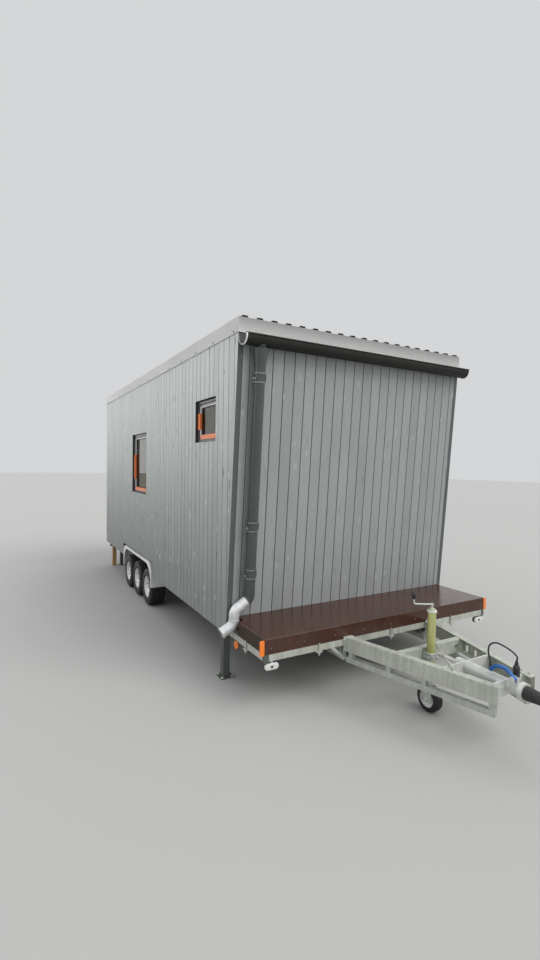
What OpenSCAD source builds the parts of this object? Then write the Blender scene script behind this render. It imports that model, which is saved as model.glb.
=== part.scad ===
/* [House] */
// Width over the side cladding
body_w = 2500; // [2200:10:2550]
// Length of the side walls along their lower edge
body_l = 5160; // [4800:20:6400]
// Height of the walls' lower edge above the ground
wall_z = 430; // [400:5:480]
// Height of the walls, from their lower edge to the underside of the roof
wall_h = 2425; // [2200:5:2700]
// Forward lean of the front end wall, in degrees
front_lean = 4.1; // [0:0.1:7]
// Thickness of the cladding boards
board_t = 20; // [14:1:28]
// Depth of the ventilated battens behind the boards
batten_t = 25; // [18:1:40]
// Thickness of the insulated frame behind the battens
frame_t = 125; // [90:5:160]
// Thickness of the insulated floor
floor_t = 113; // [90:1:140]
// Height of the floor's underside above the walls' lower edge
floor_lift = 25; // [20:1:45]

/* [Roof] */
// Thickness of the insulated roof panel
roof_t = 80; // [60:5:120]
// Height of the edge flashings
flashing_h = 113; // [95:1:150]
// Thickness of the flashings' folded sheet
flashing_t = 4; // [2:1:6]
// Height of the roof sheet's ribs
rib_h = 30; // [15:1:40]
// Spacing of the ribs
rib_pitch = 133; // [120:1:200]
// Thickness of the roof sheet
sheet_t = 2; // [1:0.5:3]

/* [Rainwater] */
// Outside radius of the half-round gutter
gutter_r = 63; // [50:1:75]
// Thickness of the gutter's wall
gutter_t = 3; // [2:0.5:4]
// Height of the gutter's lip above the walls' lower edge
gutter_lip = 2368; // [2200:1:2380]
// Distance of the downpipe from the left corner
pipe_x = 165; // [110:5:260]
// Outside diameter of the downpipe
pipe_d = 87; // [60:1:100]
// Wall of the downpipe
pipe_t = 2.5; // [1.5:0.5:4]

/* [Windows] */
// Width of the small window
small_w = 490; // [380:10:700]
// Height of the small window
small_h = 385; // [300:5:600]
// Distance of the small window behind the front corner
small_y = 262; // [220:2:500]
// Height of the small window's sill above the walls' lower edge
small_sill = 1583; // [1400:1:1700]
// Width of the large window
large_w = 740; // [500:10:1000]
// Height of the large window
large_h = 790; // [500:10:1000]
// Distance of the large window behind the front corner
large_y = 2508; // [1500:4:3000]
// Height of the large window's sill above the walls' lower edge
large_sill = 985; // [800:5:1200]
// Face width of the window frames
casement_w = 58; // [45:1:75]
// Depth of the window frames
casement_t = 70; // [55:1:80]
// Depth of the window frames' faces behind the cladding's face
window_recess = 25; // [20:1:45]

/* [Door] */
// Width of the doorway in the right wall
door_w = 860; // [760:10:950]
// Height of the doorway above the floor
door_h = 2000; // [1900:10:2040]
// Distance of the doorway behind the front corner
door_y = 620; // [500:10:1100]

/* [Running gear] */
// Outside diameter of the tyres
tyre_d = 464; // [440:2:476]
// Width of the tyres
tyre_w = 190; // [165:5:200]
// Diameter of the wheel rims
rim_d = 262; // [250:2:280]
// Distance between neighbouring axles
axle_gap = 505; // [490:5:560]
// Distance of the middle axle behind the front corner
axle_y = 3010; // [2700:5:3300]
// Depth of the tyres' outer faces inside the cladding's face
wheel_inset = 10; // [5:5:60]
// Width of the wheel arch
arch_w = 1600; // [1580:10:1800]
// Height of the wheel arch above the walls' lower edge
arch_h = 175; // [165:5:230]

/* [Deck and chassis] */
// Depth of the front deck
deck_d = 580; // [400:10:700]
// Distance of the floor's edges inside the cladding's face
deck_inset = 45; // [45:5:70]
// Height of the galvanised edge frame
edge_h = 50; // [40:1:60]
// Depth of the chassis beams
beam_h = 110; // [90:5:130]
// Width of the chassis beams' flanges
beam_w = 55; // [45:1:70]
// Wall of the chassis beams
beam_t = 5; // [4:0.5:7]
// Distance between the outer faces of the two main beams
rail_gap = 970; // [800:10:1100]
// Size of the square tube of the lower truss
chord_w = 40; // [30:1:50]
// Clear gap between the beams and the lower truss
chord_gap = 45; // [35:1:70]

/* [Drawbar] */
// Reach of the drawbar's beams in front of the front corner
drawbar_l = 1700; // [1500:10:1900]
// Distance between the outer faces of the beams at their front end
nose_w = 380; // [340:5:460]
// Height of the beams' top above the walls' lower edge
drawbar_top = 40; // [35:1:60]
// Distance of the drawbar's cross member in front of the front corner
cross_y = 1020; // [900:10:1150]
// Outside diameter of the jack's outer tube
jack_d = 60; // [48:1:70]
// Length of the jack's outer tube
jack_l = 480; // [400:10:560]
// Outside diameter of the overrun tube
draw_d = 80; // [60:2:90]

/* [Hidden] */
$fn = 48;
eps = 0.01;

// Levels above the ground
floor_z = wall_z + floor_lift;
deck_z = floor_z + floor_t;
wall_top = wall_z + wall_h;
roof_z = wall_top + roof_t;
half_w = body_w / 2;
wall_t = board_t + batten_t + frame_t;
skin_t = board_t + batten_t;

// The front wall's plane leans over the deck: the higher, the further forward
function front_y(z) = -(z - wall_z) * tan(front_lean);
eaves_y = front_y(wall_top);

// Drawbar plan: each beam runs from the chassis to the nose on a slant
beam_top = wall_z + drawbar_top;
beam_mid_z = beam_top - beam_h / 2;
plate_t = 12;
beam_start_y = -deck_d - plate_t;
beam_run = drawbar_l + beam_start_y;
beam_slant = atan((rail_gap / 2 - nose_w / 2) / beam_run);
function beam_x(y) = rail_gap / 2 - (beam_start_y - y) * tan(beam_slant);
rail_top = floor_z;
chord_z = beam_top - beam_h - chord_gap - chord_w;

// Wheels stand on the ground, and the arch's middle lies a little in front of the middle axle
wheel_z = tyre_d / 2;
arch_y = axle_y - 10;
hub_d = 58;
hub_clear = 1;

// Rainwater line
gutter_y = eaves_y - flashing_t - gutter_r;
gutter_z = wall_z + gutter_lip;
pipe_cx = -half_w + pipe_x;
pipe_low = 330;
pipe_gap = gutter_y - eaves_y;
bend_r = 60;
elbow_a = 55;
mouth_a = 62;
step_l = 95;
upright_l = 45;
mouth_l = 85;
shoe_d = pipe_d - 3;
bead = 4;

// Middle of the shoe's mouth: two bends and a step to the left, then the turned end
mouth_x = pipe_cx - 2 * bend_r * (1 - cos(elbow_a)) - step_l * sin(elbow_a) - bend_r * (1 - cos(mouth_a))
    - mouth_l * sin(mouth_a);

// The whole stands with the middle of its outline over the origin
nose_y = -2160;
hem = 3;
x_low = mouth_x - (shoe_d / 2 + bead) * cos(mouth_a);
x_high = half_w + flashing_t + hem;
y_high = body_l + flashing_t + hem;
shift_x = -(x_low + x_high) / 2;
shift_y = -(nose_y + y_high) / 2;

module place() translate([shift_x, shift_y, 0]) children();

module both_sides() {
    children();
    mirror([1, 0, 0]) children();
}

// Extrudes a (Y, Z) outline along X, from x0 over the length t
module along_x(x0, t) translate([x0, 0, 0]) rotate([90, 0, 90]) linear_extrude(t) children();

// Extrudes an (X, Z) outline along +Y, from y0 over the length t
module along_y(y0, t) translate([0, y0 + t, 0]) rotate([90, 0, 0]) linear_extrude(t) children();

module box_at(x0, x1, y0, y1, z0, z1) translate([x0, y0, z0]) cube([x1 - x0, y1 - y0, z1 - z0]);

module rod(a, b, d) {
    v = b - a;
    len = norm(v);
    translate(a) rotate([0, acos(v[2] / len), atan2(v[1], v[0])]) cylinder(d = d, h = len);
}

// One layer of the left side wall, between two depths behind its face
module side_layer(x0, x1, z0, y_in) {
    along_x(-half_w + x0, x1 - x0)
        polygon([[front_y(z0) + y_in, z0], [body_l - y_in, z0], [body_l - y_in, wall_top],
            [front_y(wall_top) + y_in, wall_top]]);
}

module side_wall() {
    difference() {
        union() {
            side_layer(0, board_t, wall_z, 0);
            side_layer(board_t, skin_t, wall_z + 15, wall_t);
            side_layer(skin_t, wall_t, deck_z, wall_t);
        }
        box_at(-half_w - 1, -half_w + wall_t + 1, arch_y - arch_w / 2, arch_y + arch_w / 2,
            wall_z - 1, wall_z + arch_h);
    }
}

module window_hole(y, w, sill, h)
    box_at(-half_w - 1, -half_w + wall_t + 1, y, y + w, wall_z + sill, wall_z + sill + h);

module left_wall() color("#8b9190") place() difference() {
    side_wall();
    window_hole(small_y, small_w, small_sill, small_h);
    window_hole(large_y, large_w, large_sill, large_h);
}

module right_wall() color("#8b9190") place() difference() {
    mirror([1, 0, 0]) side_wall();
    box_at(half_w - wall_t - 1, half_w + 1, door_y, door_y + door_w, deck_z - 1, deck_z + door_h);
}

module front_wall() color("#7f8583") place()
    along_x(-half_w + board_t, body_w - 2 * board_t)
        polygon([[front_y(deck_z), deck_z], [front_y(deck_z) + wall_t, deck_z],
            [front_y(wall_top) + wall_t, wall_top], [front_y(wall_top), wall_top]]);

module rear_wall() color("#8b9190") place() {
    box_at(-half_w + board_t, half_w - board_t, body_l - wall_t, body_l, deck_z, wall_top);
    box_at(-half_w + board_t, half_w - board_t, body_l - board_t, body_l, wall_z, deck_z + 1);
}

// The floor stops short of the wheel boxes
box_w = wheel_inset + tyre_w + 25;
deck_end = front_y(deck_z) + 12;
module floor_panel() color("#5b4a42") place() difference() {
    box_at(-half_w + deck_inset, half_w - deck_inset, deck_end, body_l - skin_t, floor_z, deck_z);
    both_sides()
        box_at(-half_w, -half_w + box_w, arch_y - arch_w / 2, arch_y + arch_w / 2, floor_z - 1, deck_z + 1);
}

module roof_panel() color("#b9b7b0") place()
    box_at(-half_w + board_t, half_w - board_t, eaves_y + board_t, body_l - board_t, wall_top, roof_z);

// One rib with the flat beside it, as points of the sheet's upper line
function rib(x) = [[x - 34, 0], [x - 22, rib_h], [x + 22, rib_h], [x + 34, 0]];
rib_count = floor((body_w - 100) / rib_pitch) + 1;
rib_first = -(rib_count - 1) * rib_pitch / 2;
sheet_half = half_w - 2;
fold_gap = 1;
module roof_sheet() color("#3f4346") place() {
    line = [for (i = [0:rib_count - 1]) for (q = rib(rib_first + i * rib_pitch)) q];
    top = concat([[-sheet_half, 0]], line, [[sheet_half, 0]]);
    n = len(top);
    under = [for (i = [0:n - 1]) top[n - 1 - i] - [0, sheet_t]];
    translate([0, 0, roof_z + sheet_t]) along_y(eaves_y + fold_gap, body_l - eaves_y - 2 * fold_gap)
        polygon(concat(top, under));
}

// Folded angle along a roof edge: a face with a hem, and a return over the sheet
flashing_top = roof_z + 17;
module edge_fold() polygon([[0, flashing_top], [-flashing_t, flashing_top],
    [-flashing_t, flashing_top - flashing_h], [-flashing_t - hem, flashing_top - flashing_h - 6],
    [-flashing_t, flashing_top - flashing_h - 6], [0, flashing_top - flashing_h]]);

module verge_flashings() color("#a7a7ab") place() both_sides()
    along_y(eaves_y - flashing_t, body_l - eaves_y + 2 * flashing_t)
        translate([-half_w, 0]) edge_fold();

module fascia_flashings() color("#8d9092") place() {
    along_x(-half_w, body_w) translate([eaves_y, 0]) edge_fold();
    along_x(-half_w, body_w) translate([body_l, 0]) mirror([1, 0]) edge_fold();
}

// Half-round gutter with a rolled front lip, closed by a cap at each end
gutter_rim = 10;
lip_d = 14;
module gutter_section(r) {
    intersection() {
        circle(r = r);
        translate([-r, -r]) square([2 * r, r]);
    }
    translate([-r, 0]) square([2 * r, gutter_rim]);
}

module gutter() color("#5d6163") place() translate([0, gutter_y, gutter_z - gutter_rim]) {
    difference() {
        along_x(-half_w, body_w) gutter_section(gutter_r);
        along_x(-half_w + gutter_t, body_w - 2 * gutter_t) {
            gutter_section(gutter_r - gutter_t);
            translate([-gutter_r + gutter_t, 0]) square([2 * (gutter_r - gutter_t), gutter_rim + 1]);
        }
        translate([pipe_cx, 0, -gutter_r - 20]) cylinder(d = pipe_d - 12, h = 60);
    }
    translate([-half_w + 1, -gutter_r + 1, gutter_rim + 2]) rotate([0, 90, 0])
        cylinder(d = lip_d, h = body_w - 2);
}

// The pipe line is parallel to the leaning wall
module on_pipe_line(z) translate([pipe_cx, front_y(z) + pipe_gap, z]) rotate([front_lean, 0, 0]) children();
// Solid runs of pipe: they are joined under a bead, and the bore is one more run, a little wider there
bore_d = pipe_d - 2 * pipe_t;
slack = 2;
module joint(d) translate([0, 0, -bead]) cylinder(d = d, h = 2 * bead);
// Bend towards -X for a run that goes down along -Z
module bend(d, a) translate([-bend_r, 0, 0]) rotate([-90, 0, 0]) rotate_extrude(angle = a)
    translate([bend_r, 0]) circle(d = d);
module after_bend(a) translate([-bend_r, 0, 0]) rotate([0, a, 0]) translate([bend_r, 0, 0]) children();
module after_back_bend(a) translate([bend_r, 0, 0]) rotate([0, -a, 0]) translate([-bend_r, 0, 0]) children();

outlet_z = gutter_z - 10 - gutter_r;
funnel_h = 120;
pipe_l = outlet_z - funnel_h - wall_z - pipe_low;
module pipe_run(d, joint_d, over) {
    cylinder(d = d, h = pipe_l + over);
    joint(joint_d);
    bend(d, elbow_a + over);
}

module downpipe() color("#5d6163") place() {
    on_pipe_line(wall_z + pipe_low) difference() {
        union() {
            pipe_run(pipe_d, pipe_d + bead, 0);
            translate([0, 0, pipe_l - 30]) cylinder(d1 = pipe_d + 1, d2 = pipe_d + 6, h = 30);
            translate([0, 0, pipe_l]) cylinder(d1 = pipe_d + 6, d2 = pipe_d + 30, h = funnel_h - 5);
        }
        pipe_run(bore_d, bore_d + slack, 1);
        translate([0, 0, pipe_l]) cylinder(d1 = bore_d, d2 = pipe_d + 30 - 2 * pipe_t, h = funnel_h - 4.9);
    }
}

// Each clip is two rings on a stud that goes into the wall
clip_levels = [505, 890, 2060];
module clip(z) on_pipe_line(wall_z + z) {
    for (dz = [-40, 30])
        difference() {
            union() {
                translate([0, 0, dz]) cylinder(d = pipe_d + 8, h = 10);
                translate([-22, 0, dz]) cube([44, -pipe_gap - 2, 10]);
            }
            translate([0, 0, dz - 1]) cylinder(d = pipe_d + 0.4, h = 12);
        }
    translate([-pipe_d / 2 - 22, -7, -38]) cube([20, 14, 6]);
}

module downpipe_clips() color("#4a4e50") place() for (z = clip_levels) clip(z);

// Galvanised shoe: it steps past the deck's corner, then turns away from the wall to its rimmed mouth
module shoe_run(d, joint_d, rim_d, over) translate([0, 0, -step_l]) {
    cylinder(d = d, h = step_l + over);
    joint(joint_d);
    mirror([1, 0, 0]) bend(d, elbow_a);
    after_back_bend(elbow_a) {
        joint(joint_d);
        translate([0, 0, -upright_l]) {
            cylinder(d = d, h = upright_l);
            joint(joint_d);
            bend(d, mouth_a);
            after_bend(mouth_a) {
                joint(joint_d);
                translate([0, 0, -mouth_l - over]) {
                    cylinder(d = d, h = mouth_l + over);
                    cylinder(d = rim_d, h = 2 * bead);
                }
            }
        }
    }
}

shoe_bore = shoe_d - 2 * pipe_t;
module downpipe_shoe() color("#b9c0bf") place()
    on_pipe_line(wall_z + pipe_low) after_bend(elbow_a) difference() {
        shoe_run(shoe_d, shoe_d + bead, shoe_d + 2 * bead, 0);
        shoe_run(shoe_bore, shoe_bore + slack, shoe_bore + slack, 1);
    }

// Window frames and doors sit in their openings with this clearance all round
frame_gap = 4;
pane_t = 24;
// A block as deep as asked that fills a window's opening up to the given distance from its edges
module window_block(y, w, sill, h, edge, x, t)
    box_at(x, x + t, y + edge, y + w - edge, wall_z + sill + edge, wall_z + sill + h - edge);

module window_frame(y, w, sill, h) {
    x = -half_w + window_recess;
    difference() {
        window_block(y, w, sill, h, frame_gap, x, casement_t);
        window_block(y, w, sill, h, frame_gap + casement_w, x - 1, casement_t + 2);
    }
}

module small_window_frame() color("#6d7072") place() window_frame(small_y, small_w, small_sill, small_h);
module large_window_frame() color("#6d7072") place() window_frame(large_y, large_w, large_sill, large_h);

module pane(y, w, sill, h)
    window_block(y, w, sill, h, frame_gap + casement_w, -half_w + window_recess + pane_t, pane_t);

module window_glass() color("#7d8f86", 0.4) place() {
    pane(small_y, small_w, small_sill, small_h);
    pane(large_y, large_w, large_sill, large_h);
}

// The door's frame has a low sill, and its leaf closes flush with the battens
jamb_w = 45;
door_sill = 25;
leaf_t = 60;
module doorway(gap, x0, x1) box_at(x0, x1, door_y + jamb_w + gap, door_y + door_w - jamb_w - gap,
    deck_z + door_sill + gap, deck_z + door_h - jamb_w - gap);

module door_frame() color("#6d7072") place() difference() {
    box_at(half_w - wall_t, half_w - board_t, door_y, door_y + door_w, deck_z, deck_z + door_h);
    doorway(0, half_w - wall_t - 1, half_w);
}

module door_leaf() color("#8b9190") place() doorway(frame_gap, half_w - skin_t - leaf_t, half_w - skin_t);

// The deck is cut out beside the wall where the shoe goes down past its end
notch_w = 50;
notch_y = -135;
module front_deck() color("#4a2d27") place() difference() {
    box_at(-half_w + deck_inset, half_w - deck_inset, -deck_d, deck_end, floor_z, deck_z);
    box_at(-half_w, -half_w + deck_inset + notch_w, notch_y, deck_end + 1, floor_z - 1, deck_z + 1);
}

// Hook bolt on the edge profile, with its nut and clamping plate below
clamp_d = 12;
clamp_t = 8;
clamp_side = 7;
module deck_clamp() translate([0, 0, -edge_h]) {
    translate([0, 0, -34]) cylinder(d = clamp_d, h = edge_h + 44);
    translate([-2 * clamp_d, -clamp_d, -clamp_t]) cube([4 * clamp_d, 40, clamp_t]);
    translate([0, 0, -clamp_t - 14]) cylinder(d = 22, h = 14, $fn = 6);
}

// Galvanised edge profile under the floor's rim, between dark brackets at the deck's front corners
edge_w = 35;
module edge_bar(x0, x1, y0, y1) box_at(x0, x1, y0, y1, floor_z - edge_h, floor_z);
module edge_frame() color("#b4bab2") place() {
    both_sides() {
        edge_bar(-half_w + deck_inset, -half_w + deck_inset + edge_w, -deck_d + edge_w, arch_y - arch_w / 2);
        edge_bar(-half_w + deck_inset, -half_w + deck_inset + edge_w, arch_y + arch_w / 2, body_l - skin_t);
    }
    edge_bar(-half_w + deck_inset + edge_w, half_w - deck_inset - edge_w, -deck_d, -deck_d + edge_w);
    edge_bar(-half_w + deck_inset, half_w - deck_inset, body_l - skin_t - edge_w, body_l - skin_t);
    for (i = [-1:1])
        translate([i * (half_w - deck_inset) * 0.61, -deck_d - clamp_side, floor_z]) deck_clamp();
    both_sides() translate([half_w - deck_inset + clamp_side, -deck_d / 2, floor_z]) rotate(90) deck_clamp();
}

module channel(h) difference() {
    translate([-beam_w, -h]) square([beam_w, h]);
    translate([-beam_w - 1, -h + beam_t]) square([beam_w + 1 - beam_t, h - 2 * beam_t]);
}

rail_rear = body_l - skin_t - edge_w - 1;
rail_front = -deck_d + edge_w + 1;
module main_beams() color("#a9b0aa") place() both_sides()
    translate([rail_gap / 2, 0, rail_top]) along_y(rail_front, rail_rear - rail_front) channel(beam_h);

// The truss hangs a little inside the beams' outer faces, in two runs that end before and behind the wheels
chord_in = 6;
post_t = 30;
truss_end = 60;
truss_front = [rail_front + 4, arch_y - arch_w / 2 - truss_end];
truss_rear = [arch_y + arch_w / 2 + truss_end, rail_rear - truss_end];
module truss_run(y0, y1) {
    x1 = rail_gap / 2 - chord_in;
    x0 = x1 - chord_w;
    box_at(x0, x1, y0, y1, chord_z, chord_z + chord_w);
    n = max(2, round((y1 - y0) / 700));
    for (i = [0:n]) {
        y = y0 + (y1 - y0 - post_t) * i / n;
        box_at(x0, x1, y, y + post_t, chord_z + chord_w - eps, rail_top - beam_h);
    }
}

module lower_truss() color("#a9b0aa") place() both_sides() {
    truss_run(truss_front[0], truss_front[1]);
    truss_run(truss_rear[0], truss_rear[1]);
    strut_run();
    front_brace();
}

// Cross beams at even steps before and behind the wheels
cross_t = 40;
cross_front = arch_y - arch_w / 2 - 2 * cross_t;
cross_rear = arch_y + arch_w / 2 + 2 * cross_t;
cross_ys = [cross_front * 0.15, cross_front * 0.6, cross_front, cross_rear, (cross_rear + rail_rear) / 2];
module cross_bar(x0, x1, y) box_at(x0, x1, y, y + cross_t, rail_top - 2 * cross_t, rail_top);
module cross_beams() color("#a9b0aa") place() for (y = cross_ys) {
    cross_bar(-rail_gap / 2 + beam_w, rail_gap / 2 - beam_w, y);
    both_sides() cross_bar(rail_gap / 2, half_w - deck_inset - edge_w, y);
}

// Torsion axles: a square tube under the beams and a trailing arm to each hub
axle_w = 70;
axle_back = 120;
arm_x = half_w - wheel_inset - tyre_w - 22;
module axle_beams() color("#9ca39e") place() for (i = [-1:1]) {
    y = axle_y + i * axle_gap;
    box_at(-arm_x, arm_x, y + axle_back, y + axle_back + axle_w, rail_top - beam_h - axle_w,
        rail_top - beam_h);
    both_sides() {
        hull() {
            translate([arm_x - 20, y + axle_back + axle_w / 2, rail_top - beam_h - axle_w / 2])
                rotate([0, 90, 0]) cylinder(d = axle_w, h = 20);
            translate([arm_x - 20, y, wheel_z]) rotate([0, 90, 0]) cylinder(d = axle_w, h = 20);
        }
        translate([arm_x - 1, y, wheel_z]) rotate([0, 90, 0]) cylinder(d = hub_d, h = 130);
    }
}

// Galvanised mudguard: an arch with rounded shoulders, and an inner plate towards the floor
guard_r = 140;
guard_drop = 150;
guard_t = 3;
guard_gap = 35;
guard_rim = 26;
guard_rim_r = 230;
module guard_line(grow, r = guard_r) {
    w = arch_w - 2 * guard_gap + 2 * grow;
    h = arch_h - 15 + guard_drop + grow;
    translate([arch_y - w / 2, wall_z - guard_drop]) {
        translate([r, 0]) square([w - 2 * r, h]);
        square([w, h - r]);
        for (x = [r, w - r]) translate([x, h - r]) circle(r = r);
    }
}

module wheel_boxes() color("#c2c8c2") place() both_sides() {
    along_x(-half_w + 2, box_w - 8) difference() {
        guard_line(0);
        translate([0, -guard_t - 1]) guard_line(-guard_t);
    }
    along_x(-half_w - 6, 9) difference() {
        guard_line(0);
        translate([0, -12]) guard_line(-guard_rim, guard_rim_r);
    }
    along_x(-half_w + box_w - 8, guard_t) intersection() {
        guard_line(0);
        translate([arch_y - arch_w, floor_z]) square([2 * arch_w, arch_h]);
    }
}

// Tyre and steel rim as one revolved wheel, with a bore for the hub
shoulder = 22;
module tyre_profile() {
    r = tyre_d / 2;
    w = tyre_w / 2;
    bead_r = rim_d / 2 - 8;
    polygon([[bead_r, -w + 14], [rim_d / 2 + 14, -w], [r - shoulder - 8, -w], [r - 10, -w + 10],
        [r, -w + shoulder], [r, w - shoulder], [r - 10, w - 10], [r - shoulder - 8, w],
        [rim_d / 2 + 14, w], [bead_r, w - 14]]);
}

module rim_profile() {
    r = rim_d / 2;
    w = tyre_w / 2 - 14;
    // barrel with its two flanges
    translate([r - 16, -w]) square([8, 2 * w]);
    for (s = [-1, 1]) translate([r - 12, s * w - 5]) square([16, 10]);
    // disc, dished towards the outside
    polygon([[hub_d / 2 + hub_clear, w - 52], [70, w - 52], [r - 14, w - 30], [r - 14, w - 20], [66, w - 42],
        [hub_d / 2 + hub_clear, w - 42]]);
    // hub shell round the stub axle
    translate([hub_d / 2 + hub_clear, -20]) square([8, w - 22]);
}

module road_wheel(side, i) {
    y = axle_y + i * axle_gap;
    x = half_w - wheel_inset - tyre_w / 2;
    translate([side * x, y, wheel_z]) rotate([0, side * 90, 0]) difference() {
        union() {
            rotate_extrude($fn = 72) tyre_profile();
            rotate_extrude($fn = 72) rim_profile();
            translate([0, 0, tyre_w / 2 - 58]) cylinder(d = 64, h = 34);
        }
        for (a = [0:90:270]) rotate(a + 45) translate([84, 0, tyre_w / 2 - 80]) cylinder(d = 26, h = 80);
        translate([0, 0, -tyre_w]) cylinder(d = hub_d + 2 * hub_clear, h = tyre_w + tyre_w / 2 - 56);
    }
}

module wheel_left_1() color("#26272a") place() road_wheel(-1, -1);
module wheel_left_2() color("#26272a") place() road_wheel(-1, 0);
module wheel_left_3() color("#26272a") place() road_wheel(-1, 1);
module wheel_right_1() color("#26272a") place() road_wheel(1, -1);
module wheel_right_2() color("#26272a") place() road_wheel(1, 0);
module wheel_right_3() color("#26272a") place() road_wheel(1, 1);

// One drawbar beam: a channel on a slant, open towards the middle, cut square to the nose
module drawbar_beam() difference() {
    translate([rail_gap / 2, beam_start_y, beam_top]) rotate([0, 0, -beam_slant])
        translate([0, -(beam_run + 60) / cos(beam_slant), 0])
            along_y(0, (beam_run + 120) / cos(beam_slant)) channel(beam_h);
    box_at(-half_w, half_w, beam_start_y + plate_t / 2, 0, 0, wall_top);
    box_at(-half_w, half_w, -drawbar_l - 400, -drawbar_l, 0, wall_top);
}

module end_plate() box_at(rail_gap / 2 - beam_w - 12, rail_gap / 2 + 14, beam_start_y, -deck_d,
    beam_top - beam_h - 6, beam_top + 4);

module drawbar_left() color("#b4bab2") place() mirror([1, 0, 0]) {
    drawbar_beam();
    end_plate();
}

// The right beam's web has two upright slots in front of the cross member
module drawbar_right() color("#b4bab2") place() {
    difference() {
        drawbar_beam();
        for (y = [-cross_y - 48, -cross_y - 143])
            box_at(nose_w / 2 - 5, rail_gap / 2, y, y + 26, beam_mid_z - 46, beam_mid_z);
    }
    end_plate();
}

// Channel between the two beams, its web towards the nose with oblong slots, and a thin stay that lies from
// it to the near beam's top
stay_d = 12;
module drawbar_cross_member() color("#b4bab2") place() {
    rod([55, -cross_y + 20, beam_top - beam_t + stay_d / 2 - 1],
        [-232, -cross_y - 385, beam_top + stay_d / 2], stay_d);
    half = beam_x(-cross_y) - beam_t / cos(beam_slant);
    difference() {
        box_at(-half, half, -cross_y, -cross_y + 50, beam_top - beam_h + beam_t, beam_top - beam_t);
        box_at(-half_w, half_w, -cross_y + 5, -cross_y + 51, beam_top - beam_h + 2 * beam_t,
            beam_top - 2 * beam_t);
        for (x = [-half + 90, half - 90]) hull() {
            translate([x - 20, -cross_y - 1, beam_mid_z]) rotate([-90, 0, 0]) cylinder(d = 18, h = 10);
            translate([x + 20, -cross_y - 1, beam_mid_z]) rotate([-90, 0, 0]) cylinder(d = 18, h = 10);
        }
    }
}

// Square tube below each beam, tied to it by short struts, and the brace up to the edge frame
strut_ys = [beam_start_y - 60, -975, -1240, 20 - drawbar_l];
strut_t = 36;
module strut_run() {
    run = beam_run / cos(beam_slant) - 20;
    translate([rail_gap / 2, beam_start_y, chord_z]) rotate([0, 0, -beam_slant])
        translate([-chord_w - chord_in, 0, 0]) {
            translate([0, -run, 0]) cube([chord_w, run, chord_w]);
            for (y = strut_ys)
                translate([0, (y - beam_start_y) / cos(beam_slant), chord_w - eps])
                    cube([chord_w, strut_t, chord_gap + eps]);
        }
}

// Brace in the deck's front plane, from the truss up to the edge frame
brace_t = 30;
brace_reach = 100;
module front_brace() {
    y = -deck_d + 2;
    x = rail_gap / 2;
    hull() {
        box_at(x - chord_in, x + 4, y, y + brace_t, chord_z + 8, chord_z + chord_w);
        box_at(x + brace_reach, x + brace_reach + brace_t, y, y + brace_t, floor_z - edge_h - 8,
            floor_z - edge_h);
    }
}

// Jack in front of the cross member
jack_x = -60;
jack_y = -cross_y - jack_d / 2 - 12;
jack_top = beam_top + 295;
jack_bore = jack_d - 8;
module jack_tube() color("#b7bb6a") place() {
    translate([jack_x, jack_y, jack_top - jack_l]) difference() {
        cylinder(d = jack_d, h = jack_l);
        translate([0, 0, -1]) cylinder(d = jack_bore, h = jack_l - 20);
    }
    translate([jack_x, jack_y, beam_mid_z - 25]) difference() {
        translate([-jack_d / 2 - 8, -jack_d / 2 - 8, 0]) cube([jack_d + 16, jack_d + 20, 50]);
        translate([0, 0, -1]) cylinder(d = jack_d - 1, h = 52);
    }
}

// Inner leg with the jockey wheel's fork and wheel
jockey_d = 200;
module jack_leg() color("#9aa09b") place() translate([jack_x, jack_y, 0]) {
    translate([0, 0, jockey_d / 2 + 70]) cylinder(d = jack_bore - 1, h = jack_top - 60 - jockey_d / 2 - 70);
    translate([-42, -45, jockey_d / 2 + 66]) cube([84, 90, 6]);
    for (x = [-42, 37]) translate([x, -22, jockey_d / 2 - 20]) cube([5, 44, 90]);
    translate([-36, 0, jockey_d / 2]) rotate([0, 90, 0]) difference() {
        cylinder(d = jockey_d, h = 72, $fn = 72);
        for (z = [-1, 63]) translate([0, 0, z]) difference() {
            cylinder(d = 140, h = 10);
            translate([0, 0, -1]) cylinder(d = 50, h = 12);
        }
    }
    translate([-42, 0, jockey_d / 2]) rotate([0, 90, 0]) cylinder(d = 16, h = 84);
}

// Crank on the jack's screw: shaft, arm and an upright grip
crank_r = 135;
crank_turn = 150;
module jack_crank() color("#c9ccc8") place() translate([jack_x, jack_y, jack_top + 0.3]) {
    cylinder(d = 44, h = 8);
    cylinder(d = 16, h = 45);
    rotate(crank_turn) {
        translate([0, 0, 37]) rotate([0, 90, 0]) cylinder(d = 13, h = crank_r);
        translate([crank_r, 0, 30.5]) cylinder(d = 13, h = 50);
        translate([crank_r, 0, 74]) cylinder(d1 = 24, d2 = 38, h = 30);
        translate([crank_r, 0, 104]) cylinder(d = 38, h = 14);
    }
}

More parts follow.
